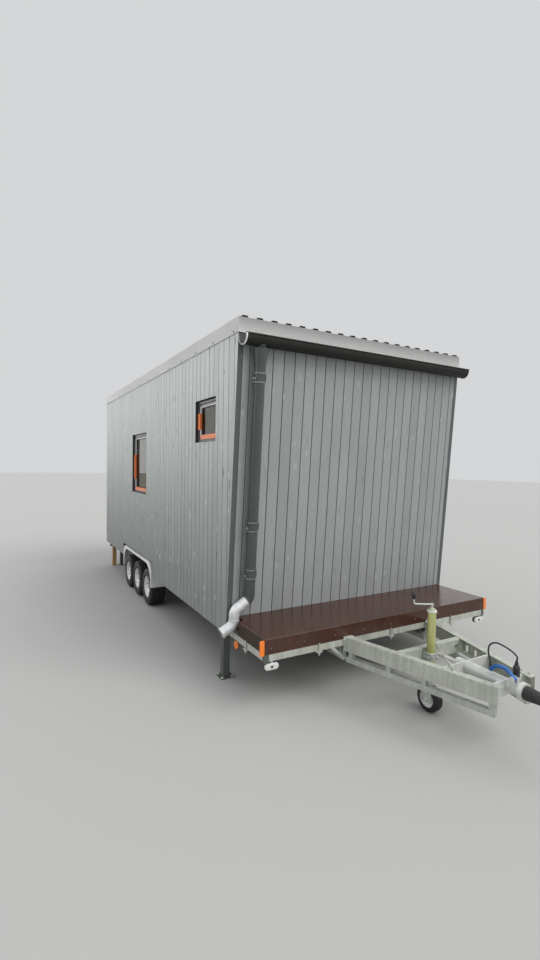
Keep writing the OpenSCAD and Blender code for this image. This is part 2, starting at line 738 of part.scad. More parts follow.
// Overrun device: guide tube on two saddle plates between the beams, bellows and flange
draw_z = beam_top - 45;
draw_start = -cross_y - 230;
saddle_gap = 310;
head_y = draw_start - 506;
tube_l = 500;
flange_t = 26;
module overrun_housing() color("#c5c8c3") place() {
    translate([0, draw_start, draw_z]) rotate([90, 0, 0]) cylinder(d = draw_d, h = tube_l);
    translate([0, head_y + flange_t, draw_z]) rotate([90, 0, 0]) cylinder(d = draw_d + 34, h = flange_t);
    for (y = [draw_start - draw_d, draw_start - draw_d - saddle_gap]) {
        half = beam_x(y) - beam_t / cos(beam_slant);
        box_at(-half, half, y, y + plate_t, beam_top - beam_h + beam_t, beam_top - beam_t);
    }
    rod([0, draw_start - 5, draw_z], [0, -cross_y, draw_z], 26);
    // lead clamp and parking socket for the plug
    translate([lead_points[0][0], lead_points[0][1], draw_z])
        cylinder(d = 22, h = wall_z + lead_points[0][2] - draw_z - 8);
    translate([plug_at[0], plug_at[1], draw_z])
        cylinder(d = 16, h = wall_z + plug_at[2] - plug_l - draw_z - 6);
    translate([plug_at[0], plug_at[1], wall_z + plug_at[2] - plug_l - 7]) cylinder(d = 48, h = 7);
    // cheeks and pin of the lever
    for (x = [lever_x - 20, lever_x + 15]) hull() {
        translate([x, lever_y, lever_z]) rotate([0, 90, 0]) cylinder(d = 32, h = 5);
        translate([x, lever_y - 18, draw_z + 24]) cube([5, 36, 4]);
    }
    translate([lever_x - 20, lever_y, lever_z]) rotate([0, 90, 0]) cylinder(d = 10, h = 40);
}

// Coupling head: shank, cast body and ball cup at the nose
ball_d = 50;
ball_gap = 2;
ball_y = nose_y + 45;
bellows_l = 120;
module coupling_head() color("#4b4f52") place() difference() {
    union() {
        translate([0, head_y, draw_z]) rotate([90, 0, 0]) cylinder(d1 = draw_d + 4, d2 = 62, h = bellows_l);
        translate([0, head_y - bellows_l, draw_z]) rotate([90, 0, 0]) cylinder(d = 52, h = 60);
        hull() {
            translate([0, head_y - bellows_l - 44, draw_z]) rotate([90, 0, 0]) cylinder(d = 70, h = 60);
            translate([0, ball_y, draw_z - 20]) cylinder(d = ball_d + 40, h = 48);
        }
    }
    translate([0, ball_y, draw_z - 12]) sphere(d = ball_d + ball_gap);
    translate([0, ball_y, draw_z - 40]) cylinder(d = ball_d + ball_gap, h = 28);
}

// Curved grip over the housing, pivoted at its front end
grip_d = 26;
grip_r = 90;
grip_y = -1610;
grip_z = wall_z + 16;
lever_x = -25;
lever_y = grip_y - grip_r * cos(30);
lever_z = grip_z + grip_r * sin(30);
module brake_lever() color("#2d63ad") place() difference() {
    union() {
        translate([lever_x, grip_y, grip_z]) rotate([90, 0, 90]) rotate([0, 0, 26])
            rotate_extrude(angle = 122) translate([grip_r, 0]) circle(d = grip_d);
        translate([lever_x - 13, lever_y, lever_z]) rotate([0, 90, 0]) cylinder(d = 34, h = 26);
    }
    translate([lever_x - 20, lever_y, lever_z]) rotate([0, 90, 0]) cylinder(d = 11, h = 40);
}

// Lead from the housing in an upright loop to the parked plug
lead_d = 11;
lead_points = [[20, -1500, 50], [18, -1492, 100], [16, -1480, 155], [16, -1488, 200], [20, -1525, 228],
    [26, -1570, 226], [34, -1622, 210], [42, -1664, 182], [42, -1664, 150]];
plug_at = lead_points[8];
plug_l = 96;
function lead_at(t) = let (n = len(lead_points) - 1, i = min(floor(t * n), n - 1), u = t * n - i,
    p1 = lead_points[i], p2 = lead_points[i + 1], p0 = lead_points[max(i - 1, 0)],
    p3 = lead_points[min(i + 2, n)])
    0.5 * ((2 * p1) + (p2 - p0) * u + (2 * p0 - 5 * p1 + 4 * p2 - p3) * u * u
        + (3 * p1 - p0 - 3 * p2 + p3) * u * u * u);
lead_rings = 24;
lead_sides = 8;
module plug_lead() color("#1d1d1f") place() translate([0, 0, wall_z]) {
    rings = [for (i = [0:lead_rings])
        let (t = i / lead_rings, a = lead_at(max(t - 0.01, 0)), b = lead_at(min(t + 0.01, 1)),
            d = (b - a) / norm(b - a), s = cross(d, [1, 0, 0]) / norm(cross(d, [1, 0, 0])), w = cross(d, s))
        for (k = [0:lead_sides - 1])
            lead_at(t) + (s * cos(360 * k / lead_sides) + w * sin(360 * k / lead_sides)) * lead_d / 2];
    walls = [for (i = [0:lead_rings - 1]) for (k = [0:lead_sides - 1])
        let (a = i * lead_sides + k, b = i * lead_sides + (k + 1) % lead_sides)
        [a, b, b + lead_sides, a + lead_sides]];
    polyhedron(rings, concat([for (f = walls) [f[3], f[2], f[1], f[0]]], [[for (k = [0:lead_sides - 1]) k]],
        [[for (k = [lead_sides - 1:-1:0]) lead_rings * lead_sides + k]]));
}

module plug() color("#17181a") place() translate([plug_at[0], plug_at[1], wall_z + plug_at[2] - plug_l]) {
    cylinder(d = 44, h = plug_l - 26);
    translate([0, 0, plug_l - 26]) cylinder(d = 24, h = 26);
}

// Square steadies under the four corners, each on a foot plate
steady_w = 60;
foot_w = 120;
foot_t = 8;
module steady(x, y) {
    box_at(x - steady_w / 2, x + steady_w / 2, y - steady_w / 2, y + steady_w / 2, foot_t, floor_z - edge_h);
    box_at(x - foot_w / 2, x + foot_w / 2, y - foot_w / 2, y + foot_w / 2, 0, foot_t);
}

module corner_steadies() color("#5f6a63") place() both_sides() {
    steady(half_w - deck_inset - steady_w / 2, 170);
    steady(half_w - 250, body_l - skin_t - steady_w / 2);
    box_at(half_w - deck_inset - edge_w, half_w - deck_inset, -deck_d, -deck_d + edge_w,
        floor_z - edge_h - 10, floor_z);
}

prop_w = 63;
module timber_props() color("#a5813f") place() both_sides()
    translate([half_w - 150, body_l - skin_t - 7 - prop_w, 0]) cube([prop_w, prop_w, floor_z - edge_h]);

// Marker lamps and reflectors: oval lamps under the deck's corners, round side markers, upright reflectors
// that stand out from the deck's ends on folded plates, and a lamp cluster at each rear corner
lamp_d = 52;
lamp_t = 30;
lamp_x = 62;
marker_d = 64;
marker_y = -115;
reflector_w = 38;
reflector_t = 6;
module lamps() color("#ff7a28") place() both_sides() {
    side_x = half_w - deck_inset;
    low = floor_z - edge_h;
    translate([side_x - lamp_x, -deck_d + lamp_t, low - lamp_d / 2 - 16]) rotate([90, 0, 0])
        linear_extrude(lamp_t) hull() {
            translate([-32, 0]) circle(d = lamp_d);
            translate([32, 0]) circle(d = lamp_d);
        }
    box_at(side_x - lamp_x - 10, side_x - lamp_x + 10, -deck_d + 6, -deck_d + 16, low - 18, low);
    translate([side_x - 8, marker_y, low - marker_d / 2]) rotate([0, 90, 0]) cylinder(d = marker_d, h = 20);
    box_at(side_x - 14, side_x - 6, marker_y - 10, marker_y + 10, low - 40, low);
    translate([side_x, -deck_d + 4, floor_z - 4]) {
        cube([reflector_w, reflector_t, floor_t - 2]);
        cube([3, 34, floor_t - 2]);
    }
    box_at(side_x - 230, side_x - 10, body_l - skin_t, body_l - board_t, low - 70, wall_z - 2);
}

left_wall();
right_wall();
front_wall();
rear_wall();
floor_panel();
roof_panel();
roof_sheet();
verge_flashings();
fascia_flashings();
gutter();
downpipe();
downpipe_clips();
downpipe_shoe();
small_window_frame();
large_window_frame();
window_glass();
door_frame();
door_leaf();
front_deck();
edge_frame();
main_beams();
lower_truss();
cross_beams();
axle_beams();
wheel_boxes();
wheel_left_1();
wheel_left_2();
wheel_left_3();
wheel_right_1();
wheel_right_2();
wheel_right_3();
drawbar_left();
drawbar_right();
drawbar_cross_member();
jack_tube();
jack_leg();
jack_crank();
overrun_housing();
coupling_head();
brake_lever();
plug_lead();
plug();
corner_steadies();
timber_props();
lamps();
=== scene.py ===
import bmesh
import math

import bpy
from mathutils import Matrix, Vector


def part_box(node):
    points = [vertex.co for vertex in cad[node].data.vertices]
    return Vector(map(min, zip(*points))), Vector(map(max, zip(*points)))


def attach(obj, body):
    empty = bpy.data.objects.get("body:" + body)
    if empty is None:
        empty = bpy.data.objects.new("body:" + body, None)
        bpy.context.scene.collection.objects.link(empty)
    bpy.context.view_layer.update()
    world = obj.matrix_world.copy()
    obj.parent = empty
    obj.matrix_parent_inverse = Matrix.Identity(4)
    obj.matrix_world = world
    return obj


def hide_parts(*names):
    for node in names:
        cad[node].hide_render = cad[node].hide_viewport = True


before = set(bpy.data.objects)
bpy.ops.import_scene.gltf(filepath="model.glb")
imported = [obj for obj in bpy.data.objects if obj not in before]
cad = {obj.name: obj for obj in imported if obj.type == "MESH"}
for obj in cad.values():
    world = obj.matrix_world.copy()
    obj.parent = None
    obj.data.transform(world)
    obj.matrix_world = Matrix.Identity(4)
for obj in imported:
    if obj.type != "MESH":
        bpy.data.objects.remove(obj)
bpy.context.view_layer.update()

# Viewpoint: at eye height, 1.3 m in front of the coupling and 1.6 m out from the left side of the house. The focal
# length is in pixels of the 540 x 960 frame.
eye = Vector((-2.7705, -4.9661, 1.8144))
heading, tilt, roll = math.radians(29.47), math.radians(-1.941), math.radians(0.881)
focal_length, frame_height, sensor = 469.15, 960, 36
ahead = Vector((math.sin(heading) * math.cos(tilt), math.cos(heading) * math.cos(tilt), math.sin(tilt)))
side = Vector((math.cos(heading), -math.sin(heading), 0))
above = side.cross(ahead)
right = math.cos(roll) * side + math.sin(roll) * above
top = math.cos(roll) * above - math.sin(roll) * side
camera_data = bpy.data.cameras.new("view_camera")
camera_data.lens = focal_length / frame_height * sensor
camera_data.sensor_width = sensor
camera_data.shift_y = 1 / frame_height
camera = bpy.data.objects.new("view_camera", camera_data)
bpy.context.scene.collection.objects.link(camera)
camera.matrix_world = Matrix.Translation(eye) @ Matrix((right, top, -ahead)).transposed().to_4x4()
bpy.context.scene.camera = camera

# Daylight: a plain overcast sky and one broad soft lamp from the front right. In what shines, the sky is brightest
# low down towards the rear left.
bpy.context.scene.view_settings.view_transform = "Standard"
world = bpy.data.worlds.new("overcast")
bpy.context.scene.world = world
world.use_nodes = True


def add_node(tree, kind, values=None, **settings):
    made = tree.nodes.new(kind)
    for key, value in settings.items():
        setattr(made, key, value)
    for key, value in (values or {}).items():
        if isinstance(value, bpy.types.NodeSocket):
            tree.links.new(value, made.inputs[key])
        else:
            made.inputs[key].default_value = value
    return made


def math_node(tree, operation, *values):
    return add_node(tree, "ShaderNodeMath", dict(enumerate(values)), operation=operation).outputs[0]


def ranged(tree, value, low, high, to_low, to_high, **settings):
    return add_node(tree, "ShaderNodeMapRange", {"Value": value, "From Min": low, "From Max": high, "To Min": to_low,
        "To Max": to_high}, **settings).outputs[0]


tree = world.node_tree
tree.nodes.clear()
where = add_node(tree, "ShaderNodeTexCoord").outputs["Generated"]
height = add_node(tree, "ShaderNodeSeparateXYZ", {0: where}).outputs["Z"]
plain_sky = ranged(tree, height, -0.1, 0.9, 0.48, 1.1)
glow_from = (-0.62, 0.70, 0.36)
towards_glow = add_node(tree, "ShaderNodeVectorMath", {0: where, 1: glow_from}, operation="DOT_PRODUCT"
    ).outputs["Value"]
glow = ranged(tree, towards_glow, 0.60, 0.95, 0.85, 2.0, interpolation_type="SMOOTHSTEP")
path = add_node(tree, "ShaderNodeLightPath").outputs
shone = add_node(tree, "ShaderNodeMix", {"Factor": path["Is Glossy Ray"], "A": plain_sky, "B": glow}).outputs[0]
sky = add_node(tree, "ShaderNodeBackground", {"Color": (0.97, 0.985, 1.0, 1), "Strength": shone})
backdrop = add_node(tree, "ShaderNodeBackground", {"Color": (0.66, 0.67, 0.68, 1), "Strength": 1.0})
seen = math_node(tree, "MAXIMUM", path["Is Camera Ray"], path["Is Transmission Ray"])
chosen = add_node(tree, "ShaderNodeMixShader", {0: seen, 1: sky.outputs[0], 2: backdrop.outputs[0]})
add_node(tree, "ShaderNodeOutputWorld", {"Surface": chosen.outputs[0]})

lamp_data = bpy.data.lights.new("soft_lamp", "SUN")
lamp_data.energy = 1.6
lamp_data.angle = math.radians(40)
lamp_data.color = (1.0, 0.985, 0.96)
lamp = bpy.data.objects.new("soft_lamp", lamp_data)
lamp.rotation_euler = (math.radians(44), 0, math.radians(30))
bpy.context.scene.collection.objects.link(lamp)

# Floor: a plain pale plane that takes the shadow of the house. It belongs to the render and is no part of the house.
bpy.ops.mesh.primitive_plane_add(size=120, location=(0, 20, 0))
floor = bpy.context.object
floor.name = "ground_plane"
floor_finish = bpy.data.materials.new("pale_ground")
floor_finish.use_nodes = True
floor_finish.node_tree.nodes["Principled BSDF"].inputs["Base Color"].default_value = (0.42, 0.42, 0.41, 1)
floor_finish.node_tree.nodes["Principled BSDF"].inputs["Roughness"].default_value = 0.9
floor.data.materials.append(floor_finish)


# Chassis: two long channels, cross beams and a lower truss of square tube, all welded from plain steel and dipped in
# zinc in one piece. Outside it has the dull grey of weathered zinc, with pale streaks, spots and its crystals showing.
house = "house_on_chassis"
wall_low, wall_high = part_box("left_wall")
right_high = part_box("right_wall")[1]
centre_x = (wall_low.x + right_high.x) / 2
lean = math.radians(4.1)
corner_y = wall_low.y + (wall_high.z - wall_low.z) * math.tan(lean)


# A place by its distance from the middle line, behind the walls' front corner and above the ground
def spot(x, y, z):
    return Vector((centre_x + x, corner_y + y, z))


def new_finish(name, gloss=0.5, metal=0.0):
    made = bpy.data.materials.new(name)
    made.use_nodes = True
    shader = made.node_tree.nodes["Principled BSDF"]
    shader.inputs["Specular IOR Level"].default_value = gloss
    shader.inputs["Metallic"].default_value = metal
    where = add_node(made.node_tree, "ShaderNodeTexCoord").outputs["Object"]
    return made, made.node_tree, shader, where


def new_group(name, taken, given):
    group = bpy.data.node_groups.new(name, "ShaderNodeTree")
    for way, sockets in (("INPUT", taken), ("OUTPUT", given)):
        for label, kind in sockets.items():
            group.interface.new_socket(label, in_out=way, socket_type="NodeSocket" + kind)
    return group, add_node(group, "NodeGroupInput").outputs


def product(tree, first, *others):
    for other in others:
        first = math_node(tree, "MULTIPLY", first, other)
    return first


def mixed(tree, share, first, second):
    return add_node(tree, "ShaderNodeMix", {"Factor": share, "A": first, "B": second}, data_type="RGBA").outputs[2]


def scaled(tree, color, factor):
    return add_node(tree, "ShaderNodeVectorMath", {0: color, "Scale": factor}, operation="SCALE").outputs[0]


def stretched(tree, where, factors):
    return add_node(tree, "ShaderNodeVectorMath", {0: where, 1: factors}, operation="MULTIPLY").outputs[0]


def noise(tree, where, scale, detail, **values):
    return add_node(tree, "ShaderNodeTexNoise", {"Vector": where, "Scale": scale, "Detail": detail, **values}
        ).outputs["Fac"]


# Scattered cells: the distance from the middle of each, and a number of its own
def cells(tree, where, scale, channel=0, dimensions="3D"):
    found = add_node(tree, "ShaderNodeTexVoronoi", {"Vector": where, "Scale": scale}, voronoi_dimensions=dimensions)
    own = add_node(tree, "ShaderNodeSeparateColor", {0: found.outputs["Color"]}).outputs[channel]
    return found.outputs["Distance"], own


# Zinc coat: cloudy grey with flat crystals, pale bloom that runs down, and small dark spots
def zinc_coat_group():
    group, given = new_group("zinc_coat", {"Vector": "Vector", "Tone": "Color", "Bloom": "Float", "Crystals": "Float"},
        {"Color": "Color", "Roughness": "Float", "Height": "Float"})
    where, bloom = given["Vector"], given["Bloom"]
    crystal = cells(group, where, given["Crystals"])[1]
    runs = noise(group, stretched(group, where, (30.0, 30.0, 2.5)), 1.0, 4.0)
    spots = noise(group, where, 55.0, 3.0)
    tone = product(group, ranged(group, crystal, 0, 1, 0.93, 1.06),
        ranged(group, noise(group, where, 5.0, 5.0), 0.3, 0.7, 0.86, 1.10))
    pale_share = product(group, ranged(group, runs, 0.46, 0.78, 0, 1), bloom)
    pale = mixed(group, pale_share, scaled(group, given["Tone"], tone), (0.72, 0.75, 0.70, 1))
    spot_share = product(group, ranged(group, spots, 0.64, 0.76, 0, 0.4), bloom)
    color = mixed(group, spot_share, pale, (0.16, 0.15, 0.12, 1))
    add_node(group, "NodeGroupOutput", {"Color": color, "Roughness": ranged(group, runs, 0.3, 0.7, 0.40, 0.66),
        "Height": spots})
    return group


zinc_coat = zinc_coat_group()


def use_group(tree, group, shader, values, rise):
    node = add_node(tree, "ShaderNodeGroup", node_tree=group)
    for label, value in values.items():
        if isinstance(value, bpy.types.NodeSocket):
            tree.links.new(value, node.inputs[label])
        else:
            node.inputs[label].default_value = value
    strength, distance = rise
    bump = add_node(tree, "ShaderNodeBump", {"Height": node.outputs["Height"], "Strength": strength,
        "Distance": distance})
    tree.links.new(node.outputs["Color"], shader.inputs["Base Color"])
    tree.links.new(node.outputs["Roughness"], shader.inputs["Roughness"])
    tree.links.new(bump.outputs["Normal"], shader.inputs["Normal"])
    return node


def zinc_finish(name, tone, bloom, crystals=70.0, metal=0.3, rise=(0.25, 0.001)):
    made, tree, shader, where = new_finish(name, 0.5, metal)
    use_group(tree, zinc_coat, shader, {"Vector": where, "Tone": (*tone, 1), "Bloom": bloom, "Crystals": crystals},
        rise)
    return made


def finished(piece, *finishes):
    piece.data.materials.clear()
    for finish in finishes:
        piece.data.materials.append(finish)
    return piece


def dress(finish, *nodes):
    for name in nodes:
        finished(cad[name], finish)


dress(zinc_finish("frame_zinc", (0.42, 0.44, 0.41), 0.35), "main_beams", "cross_beams", "lower_truss", "axle_beams")
dress(zinc_finish("edge_zinc", (0.46, 0.475, 0.42), 0.4), "edge_frame")
dress(zinc_finish("guard_zinc", (0.80, 0.81, 0.77), 0.3, 45.0), "wheel_boxes")


def named(piece, name):
    piece.name = piece.data.name = name
    return piece


def clear_selection():
    if bpy.context.object and bpy.context.object.mode != "OBJECT":
        bpy.ops.object.mode_set(mode="OBJECT")
    bpy.ops.object.select_all(action="DESELECT")


def pick(piece):
    clear_selection()
    piece.select_set(True)
    bpy.context.view_layer.objects.active = piece


def start_rod(name, centre, radius, depth, axis=(0, 0, 1), sides=32):
    clear_selection()
    bpy.ops.mesh.primitive_cylinder_add(vertices=sides, radius=radius, depth=depth, location=centre,
        rotation=Vector((0, 0, 1)).rotation_difference(Vector(axis)).to_euler())
    made = named(bpy.context.object, name)
    bpy.ops.object.transform_apply(location=True, rotation=True, scale=True)
    return made


def in_edit_mode(piece, mode, test):
    pick(piece)
    bpy.ops.object.mode_set(mode="EDIT")
    bpy.ops.mesh.select_mode(type=mode)
    shape = bmesh.from_edit_mesh(piece.data)
    found = {"VERT": shape.verts, "EDGE": shape.edges, "FACE": shape.faces}[mode]
    for part in [*shape.verts, *shape.edges, *shape.faces]:
        part.select = False
    for part in found:
        if test(part):
            part.select_set(True)
    bmesh.update_edit_mesh(piece.data)


def leave_edit_mode():
    bpy.ops.object.mode_set(mode="OBJECT")


def sharp(edge, angle=0.6):
    return len(edge.link_faces) == 2 and edge.calc_face_angle(0) > angle


def bevel_edges(piece, width, test=sharp, segments=1):
    in_edit_mode(piece, "EDGE", test)
    bpy.ops.mesh.bevel(offset=width, segments=segments, affect="EDGES")
    leave_edit_mode()
    return piece


# Copies of a pattern at all its places. The pattern itself goes.
def spread(pattern, places):
    made = []
    for place in places:
        twin = pattern.copy()
        twin.data = pattern.data.copy()
        twin.data.transform(place)
        bpy.context.scene.collection.objects.link(twin)
        made.append(twin)
    bpy.data.objects.remove(pattern)
    return made


def join(pieces, name):
    clear_selection()
    for piece in pieces:
        piece.select_set(True)
    bpy.context.view_layer.objects.active = pieces[0]
    bpy.ops.object.join()
    return named(pieces[0], name)


def settle(piece, finishes, body, slot, *stands_for):
    if finishes:
        finished(piece, *finishes)
    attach(piece, body)
    if stands_for:
        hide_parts(*stands_for)


def facing(direction, at):
    turn = Vector((0, 0, 1)).rotation_difference(Vector(direction)).to_matrix().to_4x4()
    return Matrix.Translation(at) @ turn


# Bolt head on its washer, made once at the origin, looking up
def hex_head(name, across, height, washer_thick=0.002):
    washer = start_rod("washer", (0, 0, washer_thick / 2), across * 0.95, washer_thick, sides=20)
    head = start_rod("head", (0, 0, washer_thick + height / 2), across / math.sqrt(3), height, sides=6)
    bevel_edges(head, height * 0.16, lambda e: all(v.co.z > height for v in e.verts), 2)
    return join([washer, head], name)


# One fastener at all its places, as one piece
def fasten(name, pattern, places, finish, slot="galvanised"):
    settle(join(spread(pattern, places), name), [finish], house, slot)


# Bolts of the chassis: bright zinc hexagon heads on washers. Two go through the flange over each axle on both sides,
# and four through the end plate of each drawbar beam.
bright_zinc = zinc_finish("bright_zinc", (0.55, 0.57, 0.54), 0.2, 160.0, 0.7)
middle_axle, axle_step, beam_reach, flange_z = 3.010, 0.505, 0.452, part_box("main_beams")[0].z + 0.005
places = [facing((0, 0, 1), spot(x, middle_axle + i * axle_step + y, flange_z)) for i in (-1, 0, 1)
    for x in (-beam_reach, beam_reach) for y in (0.135, 0.175)]
end_plate = -0.592
places += [facing((0, -1, 0), spot(x, end_plate, z)) for x in (-0.413, -0.4925, 0.413, 0.4925) for z in (0.375, 0.455)]
fasten("chassis_bolts", hex_head("bolt_pattern", 0.019, 0.008), places, bright_zinc)


# Wheels: six small trailer wheels, each a grooved rubber tyre on a pressed steel rim in silver paint, held by four
# nuts round a steel dust cap. The tyres are blackened and dusty from use.
def surface_wear_group():
    group, given = new_group("surface_wear", {"Vector": "Vector", "Tone": "Color", "Dirt": "Color", "Share": "Float",
        "Size": "Float", "Smooth": "Float", "Rough": "Float"}, {"Color": "Color", "Roughness": "Float",
        "Height": "Float"})
    where, size = given["Vector"], given["Size"]
    clouds = noise(group, where, size, 5.0, Roughness=0.6)
    fine = noise(group, where, product(group, size, 11.0), 3.0)
    both = math_node(group, "ADD", product(group, clouds, 0.6), product(group, fine, 0.4))
    toned = scaled(group, given["Tone"], ranged(group, clouds, 0.3, 0.7, 0.9, 1.1))
    dirt = product(group, ranged(group, both, 0.46, 0.66, 0, 1), given["Share"])
    add_node(group, "NodeGroupOutput", {"Color": mixed(group, dirt, toned, given["Dirt"]), "Height": fine,
        "Roughness": ranged(group, both, 0.35, 0.65, given["Smooth"], given["Rough"])})
    return group


surface_wear = surface_wear_group()


def worn_finish(name, tone, dirt, share, size, smooth_to_rough, rise=(0.15, 0.0006), gloss=0.5, metal=0.0):
    made, tree, shader, where = new_finish(name, gloss, metal)
    use_group(tree, surface_wear, shader, {"Vector": where, "Tone": (*tone, 1), "Dirt": (*dirt, 1), "Share": share,
        "Size": size, "Smooth": smooth_to_rough[0], "Rough": smooth_to_rough[1]}, rise)
    return made


tyre_rubber = worn_finish("tyre_rubber", (0.011, 0.010, 0.010), (0.08, 0.065, 0.05), 0.22, 14.0, (0.55, 0.85))
rim_paint = worn_finish("rim_paint", (0.82, 0.825, 0.81), (0.16, 0.14, 0.11), 0.35, 9.0, (0.25, 0.45), metal=0.2)
cap_steel = worn_finish("cap_steel", (0.42, 0.43, 0.44), (0.18, 0.13, 0.08), 0.3, 40.0, (0.25, 0.5), metal=0.8)


def turn_outwards():
    bpy.ops.mesh.select_all(action="SELECT")
    bpy.ops.mesh.normals_make_consistent(inside=False)
    leave_edit_mode()


def smooth(piece, angle=35):
    pick(piece)
    bpy.ops.object.shade_smooth_by_angle(angle=math.radians(angle))
    return piece


# A primitive circle whose points are set on an outline of (radius, place along the axis), then spun into one body
def turned(name, centre, axis, outline, steps=48):
    clear_selection()
    bpy.ops.mesh.primitive_circle_add(vertices=len(outline), radius=1)
    made = named(bpy.context.object, name)
    along = Vector(axis).normalized()
    out = along.orthogonal().normalized()
    for point, (radius, step) in zip(made.data.vertices, outline):
        point.co = Vector(centre) + out * radius + along * step
    in_edit_mode(made, "EDGE", lambda e: True)
    bpy.ops.mesh.spin(steps=steps, angle=2 * math.pi, center=centre, axis=along)
    bpy.ops.mesh.select_all(action="SELECT")
    bpy.ops.mesh.remove_doubles(threshold=0.00002)
    bpy.ops.mesh.delete_loose()
    turn_outwards()
    return smooth(made)


# The second half of an outline that is the same on both sides
def mirrored(half):
    return half + [(radius, -step) for radius, step in reversed(half)]


# Points on a circle, by their angles in degrees
def around(radius, *angles):
    return [(radius * math.cos(math.radians(a)), radius * math.sin(math.radians(a))) for a in angles]


# Tread: four ribs between three grooves, moulded in the rubber. The two outer ribs have a cross cut at every third
# step of the spin.
tread_steps, groove_reach, outer_rib, cut_depth = 144, 0.2265, 0.051, 0.004
tyre = turned("tyre", (0, 0, 0), (1, 0, 0), mirrored([(0.122, -0.080), (0.137, -0.092), (0.150, -0.0935),
    (0.152, -0.0945), (0.160, -0.0945), (0.162, -0.0935), (0.186, -0.095), (0.204, -0.093), (0.216, -0.089),
    (0.2245, -0.082), (0.2295, -0.071), (0.231, -0.052), (0.225, -0.050), (0.225, -0.042), (0.2318, -0.040),
    (0.232, -0.006), (0.226, -0.004)]) + [(0.118, 0.070), (0.118, -0.070)], tread_steps)


def in_cross_cut(face):
    middle = face.calc_center_median()
    step = math.floor(math.atan2(middle.z, middle.y) / math.radians(360 / tread_steps) + 0.01)
    return math.hypot(middle.y, middle.z) > groove_reach and abs(middle.x) > outer_rib and step % 3 == 0


in_edit_mode(tyre, "FACE", in_cross_cut)
bpy.ops.mesh.extrude_region_shrink_fatten(TRANSFORM_OT_shrink_fatten={"value": -cut_depth})
leave_edit_mode()

# Rim: a well between two rolled flanges with a dished disc pressed into it, both of sheet steel. The disc's face
# shows on the outside, with four holes, the dust cap and the nuts.
rim = turned("rim", (0, 0, 0), (1, 0, 0), [(0.119, -0.086), (0.1345, -0.087), (0.137, -0.083), (0.1335, -0.079),
    (0.1245, -0.076), (0.1225, -0.045), (0.113, -0.030), (0.113, 0.012), (0.1225, 0.026), (0.1245, 0.076),
    (0.1335, 0.079), (0.137, 0.083), (0.1345, 0.087), (0.119, 0.086), (0.1165, 0.080), (0.1165, 0.034),
    (0.108, 0.022), (0.108, -0.030), (0.1165, -0.046), (0.1165, -0.080)], 64)
disc = turned("disc", (0, 0, 0), (1, 0, 0), [(0.0315, -0.032), (0.0345, -0.041), (0.062, -0.042), (0.074, -0.050),
    (0.094, -0.062), (0.106, -0.060), (0.118, -0.052), (0.118, -0.047), (0.106, -0.055), (0.094, -0.057),
    (0.074, -0.045), (0.062, -0.037), (0.0365, -0.036), (0.0345, -0.031)], 64)
holes = [start_rod("hole", (-0.05, y, z), 0.013, 0.08, (1, 0, 0), 24) for y, z in around(0.084, 45, 135, 225, 315)]


def apply_modifier(piece, kind, **settings):
    pick(piece)
    added = piece.modifiers.new(kind.lower(), kind)
    for key, value in settings.items():
        setattr(added, key, value)
    bpy.ops.object.modifier_apply(modifier=added.name)


def cut_away(piece, cutter):
    apply_modifier(piece, "BOOLEAN", operation="DIFFERENCE", solver="EXACT", object=cutter)
    bpy.data.objects.remove(cutter)


cut_away(disc, join(holes, "holes"))
smooth(disc)
cap = turned("dust_cap", (0, 0, 0), (1, 0, 0), [(0.0, -0.070), (0.014, -0.0695), (0.024, -0.066), (0.029, -0.059),
    (0.0305, -0.036), (0.0305, -0.030), (0.0, -0.030)], 32)
nuts = spread(hex_head("nut_pattern", 0.017, 0.014), [facing((-1, 0, 0), (-0.0405, y, z))
    for y, z in around(0.050, 0, 90, 180, 270)])
valve = start_rod("valve", (-0.066, 0.0, 0.104), 0.004, 0.03, (-1, 0, 0.35), 12)
wheel = join([finished(tyre, tyre_rubber), finished(rim, rim_paint), finished(disc, rim_paint),
    finished(cap, cap_steel), finished(valve, tyre_rubber), *(finished(nut, bright_zinc) for nut in nuts)],
    "wheel_pattern")
posts, places = [(side, i) for side in ("left", "right") for i in (1, 2, 3)], []
for side, i in posts:
    low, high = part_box(f"wheel_{side}_{i}")
    place = Matrix.Translation((low + high) / 2) @ Matrix.Rotation(0 if side == "left" else math.pi, 4, "Z")
    places.append(place @ Matrix.Rotation(math.radians(17 * i + 40), 4, "X"))
for (side, i), road_wheel in zip(posts, spread(wheel, places)):
    settle(named(road_wheel, f"{side}_road_wheel_{i}"), None, f"{side}_wheel_{i}", "tyre_rubber", f"wheel_{side}_{i}")


# Drawbar: two galvanised channels that meet at the nose, tied by a slotted cross member, with a square truss tube
# below. The near web has pale upright runs where rain has carried the bloom of the zinc down.
dress(zinc_finish("drawbar_zinc", (0.46, 0.48, 0.42), 0.45), "drawbar_left", "drawbar_right", "drawbar_cross_member")
tube_zinc = zinc_finish("tube_zinc", (0.64, 0.65, 0.62), 0.3, 55.0)
dress(tube_zinc, "overrun_housing")
beam_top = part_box("drawbar_left")[1].z - 0.004

# Bolts of the drawbar: bright zinc hexagon heads on washers. Four hold the flange of the overrun tube, and two go
# through each beam's top flange beside each saddle plate.
flange_y, tube_z = -1.750, beam_top - 0.045
places = [facing((0, 1, 0), spot(x, flange_y + 0.020, tube_z + z)) for x, z in around(0.047, 45, 135, 225, 315)]
for y, reach in ((-1.324, 0.27), (-1.634, 0.188)):
    places += [facing((0, 0, 1), spot(x, y + step, beam_top)) for x in (-reach, reach) for step in (-0.028, 0.028)]
fasten("drawbar_bolts", hex_head("bolt_pattern", 0.013, 0.007), places, bright_zinc)


